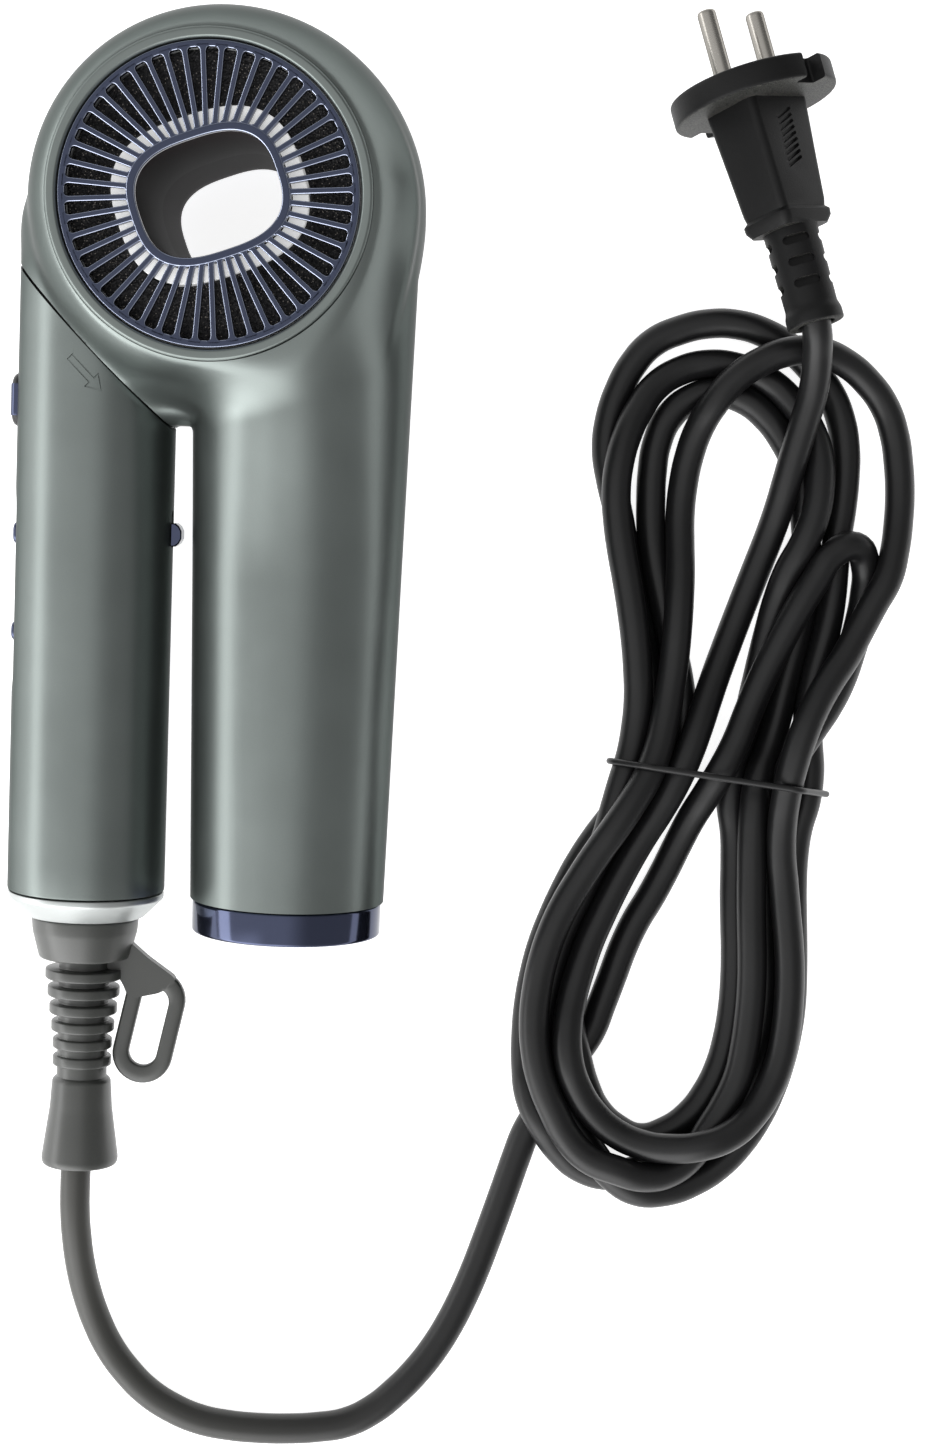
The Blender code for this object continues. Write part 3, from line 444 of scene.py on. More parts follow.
def block(low, high, bevel=0.0, segments=3):
    bm = bmesh.new()
    size = Vector(high) - Vector(low)
    middle = (Vector(high) + Vector(low)) / 2
    bmesh.ops.create_cube(bm, size=1.0, matrix=Matrix.Translation(middle) @ Matrix.Diagonal((*size, 1)))
    if bevel:
        bmesh.ops.bevel(bm, geom=bm.edges, offset=bevel, segments=segments, profile=0.5, affect="EDGES")
    return bm


def extruded(outline, low, high):
    return stack([[(x, y, z) for x, y in outline] for z in (low, high)])


def duct_radius(angle, offset, side=1):
    """The see-through duct's outline, a turned superellipse, grown outwards by an offset."""
    x = abs(cos(angle - side * DUCT_TURN)) / (DUCT_LONG + offset)
    y = abs(sin(angle - side * DUCT_TURN)) / (DUCT_SHORT + offset)
    return (x ** DUCT_POWER + y ** DUCT_POWER) ** (-1 / DUCT_POWER)


def duct_band(section, sides, side=1):
    """A closed band that follows the duct's outline, from (offset, height) points."""
    rings = []
    for offset, height in section:
        ring = []
        for i in range(sides):
            a = 2 * pi * i / sides
            r = duct_radius(a, offset, side)
            ring.append((r * cos(a), r * sin(a), height))
        rings.append(ring)
    return stack(rings, loop=True)


def joined(parts):
    """Put several bmeshes, already placed, into one."""
    whole = bmesh.new()
    for part in parts:
        scratch = bpy.data.meshes.new("scratch")
        part.to_mesh(scratch)
        part.free()
        whole.from_mesh(scratch)
        bpy.data.meshes.remove(scratch)
    return whole


def drawn(name, kind, points, radius, resolution):
    """A round curve through the points: a smooth one, or a closed one of straight pieces."""
    curve = bpy.data.curves.new(name, "CURVE")
    curve.dimensions = "3D"
    curve.bevel_depth = radius
    curve.bevel_resolution = resolution
    spline = curve.splines.new(kind)
    if kind == "BEZIER":
        curve.resolution_u = 6
        curve.use_fill_caps = True
        spline.bezier_points.add(len(points) - 1)
        for spot, point in zip(spline.bezier_points, points):
            spot.co = point
            spot.handle_left_type = spot.handle_right_type = "AUTO"
    else:
        spline.points.add(len(points) - 1)
        spline.use_cyclic_u = True
        for spot, point in zip(spline.points, points):
            spot.co = (*point, 1)
    return linked(name, curve)


# ---- camera -------------------------------------------------------------------------------------

def make_camera():
    data = bpy.data.cameras.new("camera")
    data.sensor_fit = "VERTICAL"
    data.sensor_height = 36
    data.lens = 64.46
    camera = linked("camera", data)
    camera.location = (0.0662, -0.0292, 0.691)
    camera.rotation_euler = (0, 0, radians(2.35))
    bpy.context.scene.camera = camera


# ---- cord ---------------------------------------------------------------------------------------

# Where the cord runs on the table, in the order that it is wound. Each stretch has a rank: where
# two stretches cross, the higher rank lies on top.
EXIT_ROUTE = (
    (-0.0295, -0.136, 0.017), (-0.0298, -0.1471, 0.0158), (-0.0299, -0.156, 0.0148),
    (-0.0295, -0.165, 0.0128), (-0.028, -0.1765, 0.0092), (-0.0253, -0.1865, 0.006),
    (-0.0205, -0.197, 0.0043), (-0.011, -0.2077, 0.0039), (0.001, -0.2142, 0.0039),
    (0.0135, -0.2165, 0.0039), (0.03, -0.2164, 0.0039), (0.0445, -0.2136, 0.0039),
    (0.056, -0.205, 0.0039), (0.0655, -0.193, 0.0039), (0.0725, -0.179, 0.0039),
    (0.0777, -0.1645, 0.0039),
)
WINDING = (
    (0, ((0.083, -0.148), (0.087, -0.136), (0.093, -0.124), (0.1, -0.111), (0.106, -0.098))),
    (8, ((0.112, -0.082), (0.119, -0.069), (0.127, -0.052), (0.136, -0.037), (0.142, -0.018),
         (0.147, -0.004), (0.152, 0.009), (0.158, 0.0185), (0.1645, 0.0225))),
    (7.5, ((0.1705, 0.019), (0.1715, 0.012))),
    (6.5, ((0.169, 0.002), (0.164, -0.009), (0.159, -0.019), (0.155, -0.028), (0.152, -0.036))),
    (1, ((0.148, -0.047), (0.147, -0.061), (0.147, -0.08), (0.148, -0.096), (0.146, -0.112),
         (0.141, -0.125), (0.134, -0.135), (0.125, -0.141), (0.116, -0.145), (0.108, -0.146),
         (0.1, -0.142), (0.094, -0.134), (0.089, -0.122), (0.087, -0.106), (0.089, -0.092),
         (0.094, -0.077), (0.101, -0.062), (0.109, -0.049))),
    (2, ((0.116, -0.037), (0.118, -0.022), (0.114, -0.004), (0.109, 0.015), (0.105, 0.03), (0.102, 0.045),
         (0.104, 0.06), (0.11, 0.072), (0.12, 0.078), (0.132, 0.08), (0.144, 0.077), (0.154, 0.07),
         (0.161, 0.06), (0.164, 0.048), (0.164, 0.036), (0.163, 0.023), (0.161, 0.01), (0.159, -0.006),
         (0.156, -0.022), (0.153, -0.038))),
    (3, ((0.153, -0.053), (0.154, -0.069), (0.155, -0.085), (0.155, -0.101), (0.152, -0.116),
         (0.147, -0.129), (0.139, -0.14), (0.13, -0.146))),
    (5.5, ((0.119, -0.148), (0.108, -0.143), (0.099, -0.133), (0.094, -0.123), (0.092, -0.108),
         (0.094, -0.086), (0.1, -0.07), (0.106, -0.056))),
    (4, ((0.112, -0.039), (0.113, -0.024), (0.111, -0.007), (0.108, 0.008), (0.105, 0.021), (0.103, 0.034),
         (0.104, 0.047), (0.109, 0.058), (0.116, 0.065), (0.126, 0.068), (0.136, 0.066), (0.144, 0.061),
         (0.151, 0.052), (0.155, 0.04), (0.156, 0.027), (0.154, 0.013), (0.15, -0.002), (0.146, -0.016),
         (0.142, -0.03), (0.139, -0.042))),
    (5, ((0.14, -0.055), (0.14, -0.071), (0.141, -0.089), (0.14, -0.106), (0.137, -0.12), (0.13, -0.131))),
    (1.5, ((0.12, -0.137), (0.11, -0.134), (0.101, -0.126), (0.096, -0.115), (0.095, -0.101),
         (0.097, -0.086), (0.102, -0.071), (0.108, -0.06), (0.115, -0.049))),
    (3.5, ((0.123, -0.036), (0.122, -0.022), (0.119, -0.008), (0.117, 0.004), (0.114, 0.018),
         (0.113, 0.032), (0.114, 0.047), (0.119, 0.057), (0.128, 0.062), (0.137, 0.062), (0.146, 0.056),
         (0.152, 0.046), (0.154, 0.035), (0.154, 0.022), (0.153, 0.009), (0.151, -0.004), (0.149, -0.017),
         (0.147, -0.029), (0.145, -0.041))),
    (7, ((0.143, -0.054), (0.143, -0.07), (0.144, -0.088), (0.144, -0.104), (0.142, -0.119),
         (0.136, -0.132), (0.128, -0.141), (0.119, -0.145), (0.109, -0.143), (0.1, -0.138),
         (0.094, -0.128), (0.09, -0.118), (0.088, -0.106), (0.089, -0.092), (0.093, -0.078), (0.1, -0.064),
         (0.107, -0.052))),
    (9, ((0.114, -0.039), (0.118, -0.024), (0.12, -0.009), (0.12, 0.006), (0.12, 0.021), (0.121, 0.036),
         (0.124, 0.05), (0.13, 0.061), (0.138, 0.068), (0.148, 0.072), (0.159, 0.071), (0.168, 0.066),
         (0.175, 0.057), (0.178, 0.044), (0.178, 0.031), (0.175, 0.018), (0.17, 0.005), (0.165, -0.007),
         (0.159, -0.018), (0.154, -0.03), (0.151, -0.042))),
    (10, ((0.15, -0.056), (0.152, -0.071), (0.154, -0.087), (0.154, -0.101), (0.152, -0.114),
         (0.146, -0.126), (0.136, -0.134), (0.123, -0.137), (0.111, -0.134), (0.102, -0.126),
         (0.097, -0.114), (0.096, -0.1), (0.098, -0.086), (0.104, -0.072), (0.112, -0.058))),
    (11, ((0.122, -0.04), (0.128, -0.023), (0.1345, -0.005), (0.1405, 0.012), (0.146, 0.028),
         (0.15, 0.043), (0.1525, 0.056), (0.1536, 0.066))),
)

SAMPLE = 0.0026             # spacing of the samples along the cord
LAYER = 0.0036              # height that each rank adds before the cord settles
SINK, LATE_SINK = 0.00015, 0.00002  # fall in each round
PULL, LATE_PULL = 0.1, 0.02  # pull back to the route in each round
INTO_PLUG = 0.008           # the cord runs this far into the plug
BY_PLUG = 0.055             # length behind the plug that is smoothed at the end
TIE_STRETCH = 0.012         # length of cord that the tie lifts
SMOOTHING = np.array([1, 4, 6, 4, 1]) / 16
SETTLE_ROUNDS = 700
LATE_ROUNDS = 120           # gentler ones at the end


def spline_samples(points, spacing):
    """Even samples of a smooth curve through the points, with the index of the point before each."""
    p = np.array(points, float)
    ends = np.vstack([2 * p[0] - p[1], p, 2 * p[-1] - p[-2]])
    steps = 40
    fine, owner = [], []
    for i in range(len(p) - 1):
        a, b, c, d = ends[i:i + 4]
        for k in range(steps):
            t = k / steps
            fine.append(0.5 * (2 * b + (c - a) * t + (2 * a - 5 * b + 4 * c - d) * t ** 2
                               + (3 * b - a - 3 * c + d) * t ** 3))
            owner.append(i + t)
    fine.append(p[-1])
    owner.append(len(p) - 1.0)
    fine, owner = np.array(fine), np.array(owner)
    walked = np.concatenate([[0], np.cumsum(np.linalg.norm(np.diff(fine, axis=0), axis=1))])
    count = int(round(walked[-1] / spacing))
    at = np.linspace(0, walked[-1], count + 1)
    return (np.column_stack([np.interp(at, walked, fine[:, k]) for k in range(p.shape[1])]),
            np.interp(at, walked, owner), at)


def smoothed(row):
    return np.convolve(np.pad(row, 2, mode="edge"), SMOOTHING, mode="valid")


def across_tie(flat):
    """How far each sample lies from the tie's line."""
    (x0, y0), (x1, y1) = TIE_ENDS
    along = Vector((x1 - x0, y1 - y0)).normalized()
    return (flat[:, 0] - x0) * -along.y + (flat[:, 1] - y0) * along.x


def settle_cord():
    """Let the wound cord down on the table: gravity against contact between its stretches."""
    rear = PLUG @ Vector((0, 0, PLUG_LENGTH))
    inside = PLUG @ Vector((0, 0, PLUG_LENGTH - INTO_PLUG))
    away = (rear - inside).normalized()
    points = [(x, y) for x, y, z in EXIT_ROUTE]
    ranks = [0.0] * len(points)
    for rank, stretch in WINDING:
        points += stretch
        ranks += [float(rank)] * len(stretch)
    points += [(rear.x, rear.y), (inside.x, inside.y)]
    ranks += [float(rank)] * 2
    flat, owner, arc = spline_samples(points, SAMPLE)
    rank = np.interp(owner, range(len(ranks)), ranks)
    for _ in range(6):
        rank = smoothed(rank)
    count = len(arc)
    grounded = np.column_stack([flat, np.zeros(count)])
    lead_arc = np.interp(range(len(EXIT_ROUTE)), owner, arc)
    lead = arc < lead_arc[-1]
    lead_height = np.interp(arc[lead], lead_arc, [z for x, y, z in EXIT_ROUTE])
    left = arc[-1] - arc
    tail = left < INTO_PLUG + 0.001
    tail_height = rear.z + (left[tail] - INTO_PLUG) * away.z
    near_plug = left < BY_PLUG

    thick = 2 * CORD_RADIUS
    in_hank = flat[:, 0] > 0.095
    floor = CORD_RADIUS + 2.1 * TIE_RADIUS * np.exp(-(across_tie(flat) / TIE_STRETCH) ** 2) * in_hank
    place = np.column_stack([flat, CORD_RADIUS + rank * LAYER])

    def hold_ends():
        place[lead, 2] = lead_height
        place[tail, 2] = tail_height

    hold_ends()
    order = rank + np.arange(count) * 1e-5
    for step in range(SETTLE_ROUNDS):
        if step % 20 == 0:
            # pairs that may touch, without a stretch and its own neighbours
            gap = np.linalg.norm(place[:, None, :2] - place[None, :, :2], axis=2)
            near = (gap < 1.5 * thick) & (arc[:, None] - arc[None] > 3.2 * thick)
            one, two = np.nonzero(near)
            swap = order[one] < order[two]
            upper, lower = np.where(swap, two, one), np.where(swap, one, two)
        late = step > SETTLE_ROUNDS - LATE_ROUNDS
        place[:, 2] -= LATE_SINK if late else SINK
        place[:, :2] += (flat - place[:, :2]) * (LATE_PULL if late else PULL)
        for _ in range(2):
            apart = place[upper] - place[lower]
            apart[:, 2] = np.maximum(apart[:, 2], 0.25 * thick)
            distance = np.linalg.norm(apart, axis=1)
            deep = np.maximum(thick - distance, 0)
            push = apart / distance[:, None] * (deep * 0.22)[:, None]
            for k in range(3):
                place[:, k] += np.bincount(upper, push[:, k], count)
                place[:, k] -= np.bincount(lower, push[:, k], count)
            place[:, 2] = np.maximum(place[:, 2], floor)
        shift = place - grounded
        for k in range(3):
            shift[:, k] = 0.4 * shift[:, k] + 0.6 * smoothed(shift[:, k])
        place[:] = shift + grounded
        place[:, 2] = np.maximum(place[:, 2], floor)
        hold_ends()
        place[lead | tail, :2] = flat[lead | tail]
    # no step in height where the cord comes down from the plug
    for _ in range(14):
        height = smoothed(place[:, 2])
        place[near_plug, 2] = np.maximum(height, place[:, 2] - LATE_SINK)[near_plug]
        place[tail, 2] = tail_height
    return place


def make_cord():
    path = settle_cord()
    length = float(np.sum(np.linalg.norm(np.diff(path, axis=0), axis=1)))
    kept = sorted({*range(0, len(path), 3), len(path) - 1})
    obj = drawn("mains_cord", "BEZIER", path[kept], CORD_RADIUS, 7)
    wear(obj, "cord_black", "handle", "cord", "cord_hank")
    return obj, path, length


def make_tie(path):
    """A thin wire pulled tight round the middle of the hank."""
    (x0, y0), (x1, y1) = TIE_ENDS
    along = Vector((x1 - x0, y1 - y0)).normalized()
    u = (path[:, 0] - x0) * along.x + (path[:, 1] - y0) * along.y
    near = (np.abs(across_tie(path)) < 0.0016) & (u > -0.02) & (u < 0.08)
    reach = CORD_RADIUS + TIE_RADIUS + 0.0001
    ring = []
    for a in np.linspace(0, 2 * pi, 73)[:-1]:
        for cu, cz in zip(u[near], path[near, 2]):
            ring.append((cu + reach * cos(a), cz + reach * sin(a)))
    hull = convex_hull([(a, max(b, TIE_RADIUS * 1.05)) for a, b in ring])
    points = [(x0 + along.x * a, y0 + along.y * a, b) for a, b in hull]
    obj = drawn("hank_tie", "POLY", points, TIE_RADIUS, 5)
    return wear(obj, "cord_black", "handle", "cord_tie")


def convex_hull(points):
    """Corners of the convex outline around (u, v) points, in order."""
    points = sorted(set(points))

    def half(row):
        kept = []
        for p in row:
            while len(kept) > 1 and ((kept[-1][0] - kept[-2][0]) * (p[1] - kept[-2][1])
                                     - (kept[-1][1] - kept[-2][1]) * (p[0] - kept[-2][0])) <= 0:
                kept.pop()
            kept.append(p)
        return kept[:-1]

    return half(points) + half(points[::-1])


# ---- head ---------------------------------------------------------------------------------------

def barrel_radius(height):
    slope = (BARREL_END_RADIUS - BARREL_TOP_RADIUS) / (BARREL_END - BARREL_TOP)
    return BARREL_TOP_RADIUS + slope * (height - BARREL_TOP)


def ellipse_distance(a, b, size_a, size_b):
    """Distance from a rounded quarter whose straight sides lie at a = 0 and b = 0."""
    qa, qb = np.maximum(a, 0) / size_a, np.maximum(b, 0) / size_b
    q = np.hypot(qa, qb)
    steep = np.hypot(qa / size_a, qb / size_b)
    flat = np.maximum(a - size_a, b - size_b)
    return np.where(steep > 1e-6, (q - 1) * q / np.maximum(steep, 1e-6), flat)


def side_bulge(height):
    """How far the drum's side stands out past the edge of its face; the side is part of an oval."""
    highest = SIDE_RISE - 0.0005
    left = np.sqrt(1 - (np.clip(height, 0, highest) / SIDE_RISE) ** 2)
    end = sqrt(1 - (HEAD_HALF / SIDE_RISE) ** 2)
    return (left - end) / (1 - end)


def drum_field(p):
    """Rough distance from the drum's side, with the side's slope taken out."""
    nudge = 0.0002
    high = np.abs(p[:, 2])
    bulge = side_bulge(high)
    radial = np.hypot(p[:, 0] - HEAD_OFFSET * bulge, p[:, 1])
    side = radial - FACE_RADIUS - (HEAD_RADIUS - FACE_RADIUS) * bulge
    steepness = (side_bulge(high - nudge) - side_bulge(high + nudge)) / (2 * nudge)
    lean = steepness * (HEAD_RADIUS - FACE_RADIUS)
    return side / np.sqrt(1 + lean ** 2)


def limb_field(p, x, radius, centre, dome, swell=0.0):
    """A round limb along -Y with an oval upper end; swell makes it deeper than wide."""
    down = -p[:, 1]
    radial = np.hypot(p[:, 0] - x, p[:, 2] * radius / (radius + swell))
    return ellipse_distance(radial, centre - down, radius, dome)


def ramp(value, low, high):
    """A smooth step from 0 at low to 1 at high."""
    t = np.clip((value - low) / (high - low), 0, 1)
    return t * t * (3 - 2 * t)


def blend_field(a, b, k):
    """Union of two fields with a fillet of size k."""
    k = np.maximum(k, 1e-6)
    h = np.clip(0.5 + 0.5 * (b - a) / k, 0, 1)
    return b * (1 - h) + a * h - k * h * (1 - h)


def head_field(p):
    """Signed distance from the head, its barrel and the handle's stub, flowing into each other."""
    drum = drum_field(p)
    down = -p[:, 1]
    high = np.abs(p[:, 2])
    swell = BARREL_SWELL * (1 - ramp(down, 0.03, 0.092))
    barrel = limb_field(p, BARREL_X, barrel_radius(np.maximum(down, 0)), BARREL_TOP, 0.03, swell)
    above_seam = (p[:, 0] - SEAM.x + p[:, 1] - SEAM.y) / sqrt(2)
    stub_swell = STUB_SWELL * ramp(above_seam, 0.0005, 0.01)
    stub = limb_field(p, HANDLE_X, HANDLE_TOP_RADIUS, 0.01, 0.028, stub_swell)
    stub = np.maximum(stub, down - 0.057)
    beyond = np.column_stack([np.abs(p[:, 0] + 0.009) - 0.015, np.abs(down - 0.043) - 0.0111,
                              high - 0.017]) + WEB_CORNER
    outside = np.sqrt(np.sum(np.maximum(beyond, 0) ** 2, axis=1))
    web = outside + np.minimum(beyond.max(axis=1), 0) - WEB_CORNER
    # the fillets fade out along the limbs and towards the head's middle plane
    fillet = FILLET * ramp(high, 0.008, 0.022) * (1 - ramp(down, 0.045, 0.08)) + 0.0014
    stub_fillet = STUB_FILLET * ramp(p[:, 0], -0.046, -0.026) * (1 - ramp(down, 0.04, 0.055)) + 0.001
    web_fillet = WEB_FILLET * (1 - ramp(down, 0.044, 0.053)) + 0.0012
    whole = blend_field(drum, barrel, fillet)
    whole = blend_field(whole, stub, stub_fillet)
    whole = blend_field(whole, web, web_fillet)
    # nothing stands higher than the rim of the face
    return -blend_field(-whole, HEAD_HALF - high, 0.002)


def project(points, field, rounds=8):
    """Move points along the field's slope onto its zero surface."""
    step = 0.00005
    for _ in range(rounds):
        value = field(points)
        slope = np.column_stack([(field(points + step * e) - field(points - step * e)) / (2 * step)
                                 for e in np.eye(3)])
        size = np.maximum(np.sum(slope ** 2, axis=1), 0.05)
        points = points - slope * (0.9 * value / size)[:, None]
    return points


def remesh(obj, size):
    modifier = obj.modifiers.new("remesh", "REMESH")
    modifier.mode = "VOXEL"
    modifier.voxel_size = size
    modifier.adaptivity = 0
    bake(obj)


def fit(obj, field):
    """Move the mesh's vertices onto the field's surface."""
    mesh = obj.data
    points = np.empty(len(mesh.vertices) * 3)
    mesh.vertices.foreach_get("co", points)
    moved = project(points.reshape(-1, 3), field)
    mesh.vertices.foreach_set("co", moved.astype(np.float32).ravel())
    mesh.update()


def make_head_shells():
    """Two halves of one flowing shell, hollowed, split along the middle and cut at the seam."""
    upper = [(FACE_RADIUS + (HEAD_RADIUS - FACE_RADIUS) * float(side_bulge(z)), z)
             for z in (HEAD_HALF, 0.035, 0.032, 0.028, 0.023, 0.018, 0.012, 0.006, 0)]
    drum = lathe(mirrored([(0, HEAD_HALF)] + upper))
    barrel = lathe([(0, -0.028), (0.015, -0.022), (0.025, -0.012), (0.0281, 0.002),
                    (barrel_radius(0.182), 0.182), (0, 0.182)])
    stub = lathe([(0, -0.01), (0.0135, -0.004), (0.0193, 0.014), (0.0198, 0.028), (0.0198, 0.06),
                  (0, 0.06)])
    for limb, x in ((barrel, BARREL_X), (stub, HANDLE_X)):
        bmesh.ops.transform(limb, matrix=limb_frame(SAME, x), verts=limb.verts)
    web = block((-0.02, -0.053, -0.015), (0.001, -0.025, 0.015))
    shell = add("body_shell", joined([drum, barrel, stub, web]), SAME)
    for voxel in (0.0014, 0.0009):
        remesh(shell, voxel)
        fit(shell, head_field)

    # all that is hollow: the opening, the head, the barrel, the stub and the air outlet
    cutter = add("hollow", rod(FACE_RADIUS + 0.0005, -0.06, 0.06, 256), SAME)
    cavity = [(0, 0.0345), (0.038, 0.0345), (0.0412, 0.029), (0.0436, 0.022), (0.0452, 0.014),
              (0.046, 0)]
    cut(cutter, lathe(mirrored(cavity), 128), SAME, "UNION")
    tail = BARREL_END + 0.03
    bore = lathe([(0, 0.012), (barrel_radius(0.012) - WALL, 0.012), (barrel_radius(tail) - WALL, tail),
                  (0, tail)], 120)
    cut(cutter, bore, limb_frame(SAME, BARREL_X), "UNION")
    inner_stub = lathe([(0, 0.002), (0.0145, 0.005), (0.0171, 0.014), (0.0176, 0.028), (0.0176, 0.09),
                        (0, 0.09)], 112)
    cut(cutter, inner_stub, limb_frame(SAME, HANDLE_X), "UNION")
    cut(cutter, block((-0.05, -0.3, -0.06), (0.08, -BARREL_END, 0.06)), SAME, "UNION")
    cut(shell, block((-0.06, -0.05, -SEAM_HALF), (0.033, 0.05, 0.1)), seam_frame(SAME))
    combine(shell, cutter)
    for name, side in (("front", 1), ("rear", -1)):
        half = linked("shell_" + name, shell.data.copy())
        low, high = sorted((side * GAP / 3, side * 0.08))
        cut(half, block((-0.1, -0.3, low), (0.1, 0.1, high)), SAME, "INTERSECT", 38)
        half.data.transform(DRYER)
        wear(half, "shell_satin", "head", "body_shell_" + name)
    bpy.data.objects.remove(shell)


def face_frame(side):
    """The dryer's frame, turned over for the rear face."""
    return DRYER if side > 0 else DRYER @ Matrix.Rotation(pi, 4, "X")


def make_bezel(name, side):
    """The lighter flat ring around a grille."""
    face = HEAD_HALF + 0.0001
    inner = GRILLE_RADIUS + 0.0003
    outer = FACE_RADIUS + 0.00042
    ring = rounded([(inner, face - 0.005), (outer, face - 0.005), (outer, face - 0.0006),
                    (outer - 0.0006, face), (inner + 0.0006, face), (inner, face - 0.0008)],
                   0.00025, 3, loop=True)
    wear(add(name + "_bezel", lathe(ring, 256, loop=True), face_frame(side)), "shell_satin", "head")


def rib_bars(side):
    """Radial bars with rounded fronts, flaring into the rims so that the slots have round ends."""
    bars = []
    width, rim, outer = 0.00135, 0.0019, GRILLE_RADIUS - 0.0016
    round_rise = 0.00035
    rise = [pi / 8, pi / 4, 3 * pi / 8, pi / 2]
    face, back = GRILLE_FACE, GRILLE_BACK + 0.0002
    for i in range(GRILLE_RIBS):
        angle = 2 * pi * (i + 0.5) / GRILLE_RIBS
        inner = duct_radius(angle, rim, side)
        stations = [inner - 0.0006, inner, inner + 0.0002, inner + 0.0005, inner + 0.0009]
        stations += [inner + (outer - inner) * t for t in (0.25, 0.5, 0.75)]
        stations += [outer + t for t in (-0.0011, -0.0006, -0.0003, -0.0001, 0, 0.0006)]
        rings = []
        for r in stations:
            flare = 0
            for limit, distance in ((0.0004, r - inner), (0.0011, outer - r)):
                s = min(max(distance, 0), limit)
                flare = max(flare, limit - sqrt(max(limit ** 2 - (limit - s) ** 2, 0)))
            half = width / 2 + flare
            crown = min(half, round_rise)
            arc = [(half - crown * (1 - cos(a)), face - crown + crown * sin(a)) for a in rise]
            section = [(-half, back), (-half, face - crown)] + [(-s, z) for s, z in arc]
            section += arc[::-1] + [(half, face - crown), (half, back)]
            rings.append([(r * cos(angle) - s * sin(angle), r * sin(angle) + s * cos(angle), z)
                          for s, z in section])
        bars.append(stack(rings))
    return bars


def make_grille(name, side):
    turn = face_frame(side)
    face, back = GRILLE_FACE, GRILLE_BACK
    rim = box_section(GRILLE_RADIUS - 0.0017, GRILLE_RADIUS, back, face, 0.0004)
    lip = box_section(0, 0.002, back, face + 0.0001, 0.0005)
    ribs = joined([lathe(rim, 192, loop=True), duct_band(lip, 144, side)] + rib_bars(side))
    wear(add(name + "_grille_ribs", ribs, turn), "grille_gunmetal", "head", name + "_grille")

    white = box_section(0.0022, 0.0058, back - 0.003, back - GAP, 0.0003, 3)
    ring = duct_band(white, 96, side)
    wear(add(name + "_white_ring", ring, turn), "white_plastic", "head", name + "_inner_ring")
    make_foam(name, side)


def make_foam(name, side):
    """A slab of open foam with an uneven face."""
    around, across = 220, 26
    inset, outer = 0.0062, 0.034
    top, bottom = GRILLE_BACK - 0.0012, GRILLE_BACK - 0.0038
    bm = bmesh.new()
    grid = []
    for i in range(around):
        a = 2 * pi * i / around
        inner = duct_radius(a, inset, side)
        row = []
        for k in range(across + 1):
            r = inner + (outer - inner) * k / across
            x, y = r * cos(a), r * sin(a)
            bumps = 0.0003 * noise.noise(Vector((x, y, side)) * 900)
            bumps += 0.0002 * noise.noise(Vector((x, y, 2 + side)) * 2600)
            row.append(bm.verts.new((x, y, top + (bumps if 0 < k < across else -0.0001))))
        grid.append(row)
    floor = [[bm.verts.new((row[k].co.x, row[k].co.y, bottom)) for k in (0, across)] for row in grid]
    for i in range(around):
        j = (i + 1) % around
        for k in range(across):
            bm.faces.new((grid[i][k], grid[i][k + 1], grid[j][k + 1], grid[j][k]))
        bm.faces.new((grid[i][0], grid[j][0], floor[j][0], floor[i][0]))
        bm.faces.new((grid[i][across], grid[j][across], floor[j][1], floor[i][1]))
        bm.faces.new((floor[i][0], floor[j][0], floor[j][1], floor[i][1]))
    wear(add(name + "_foam", bm, face_frame(side), angle=80), "filter_foam", "head", name + "_filter")


def make_duct():
    end = GRILLE_BACK - GAP
    profile = rounded([(0.0016, end), (0, end), (0, -0.008), (-0.0009, -0.03), (-0.0009, -end),
                       (0.0016, -end)], 0.0003, 3, loop=True)
    wear(add("duct_lining", duct_band(profile, 128)), "duct_dark", "head", "centre_duct")


def make_outlet():
    bore, spigot = 0.0194, 0.0215
    tail = BARREL_END - 0.003
    ring = rounded([(OUTLET_RADIUS, OUTLET_END), (bore, OUTLET_END), (bore, tail), (spigot, tail),
                    (spigot, BARREL_END + GAP), (OUTLET_RADIUS, BARREL_END + GAP)], 0.0008, 4, loop=True)
    wear(add("outlet_ring_polished", lathe(ring, 160, loop=True), BARREL), "blue_chrome", "head",
         "outlet_ring")


# ---- handle -------------------------------------------------------------------------------------

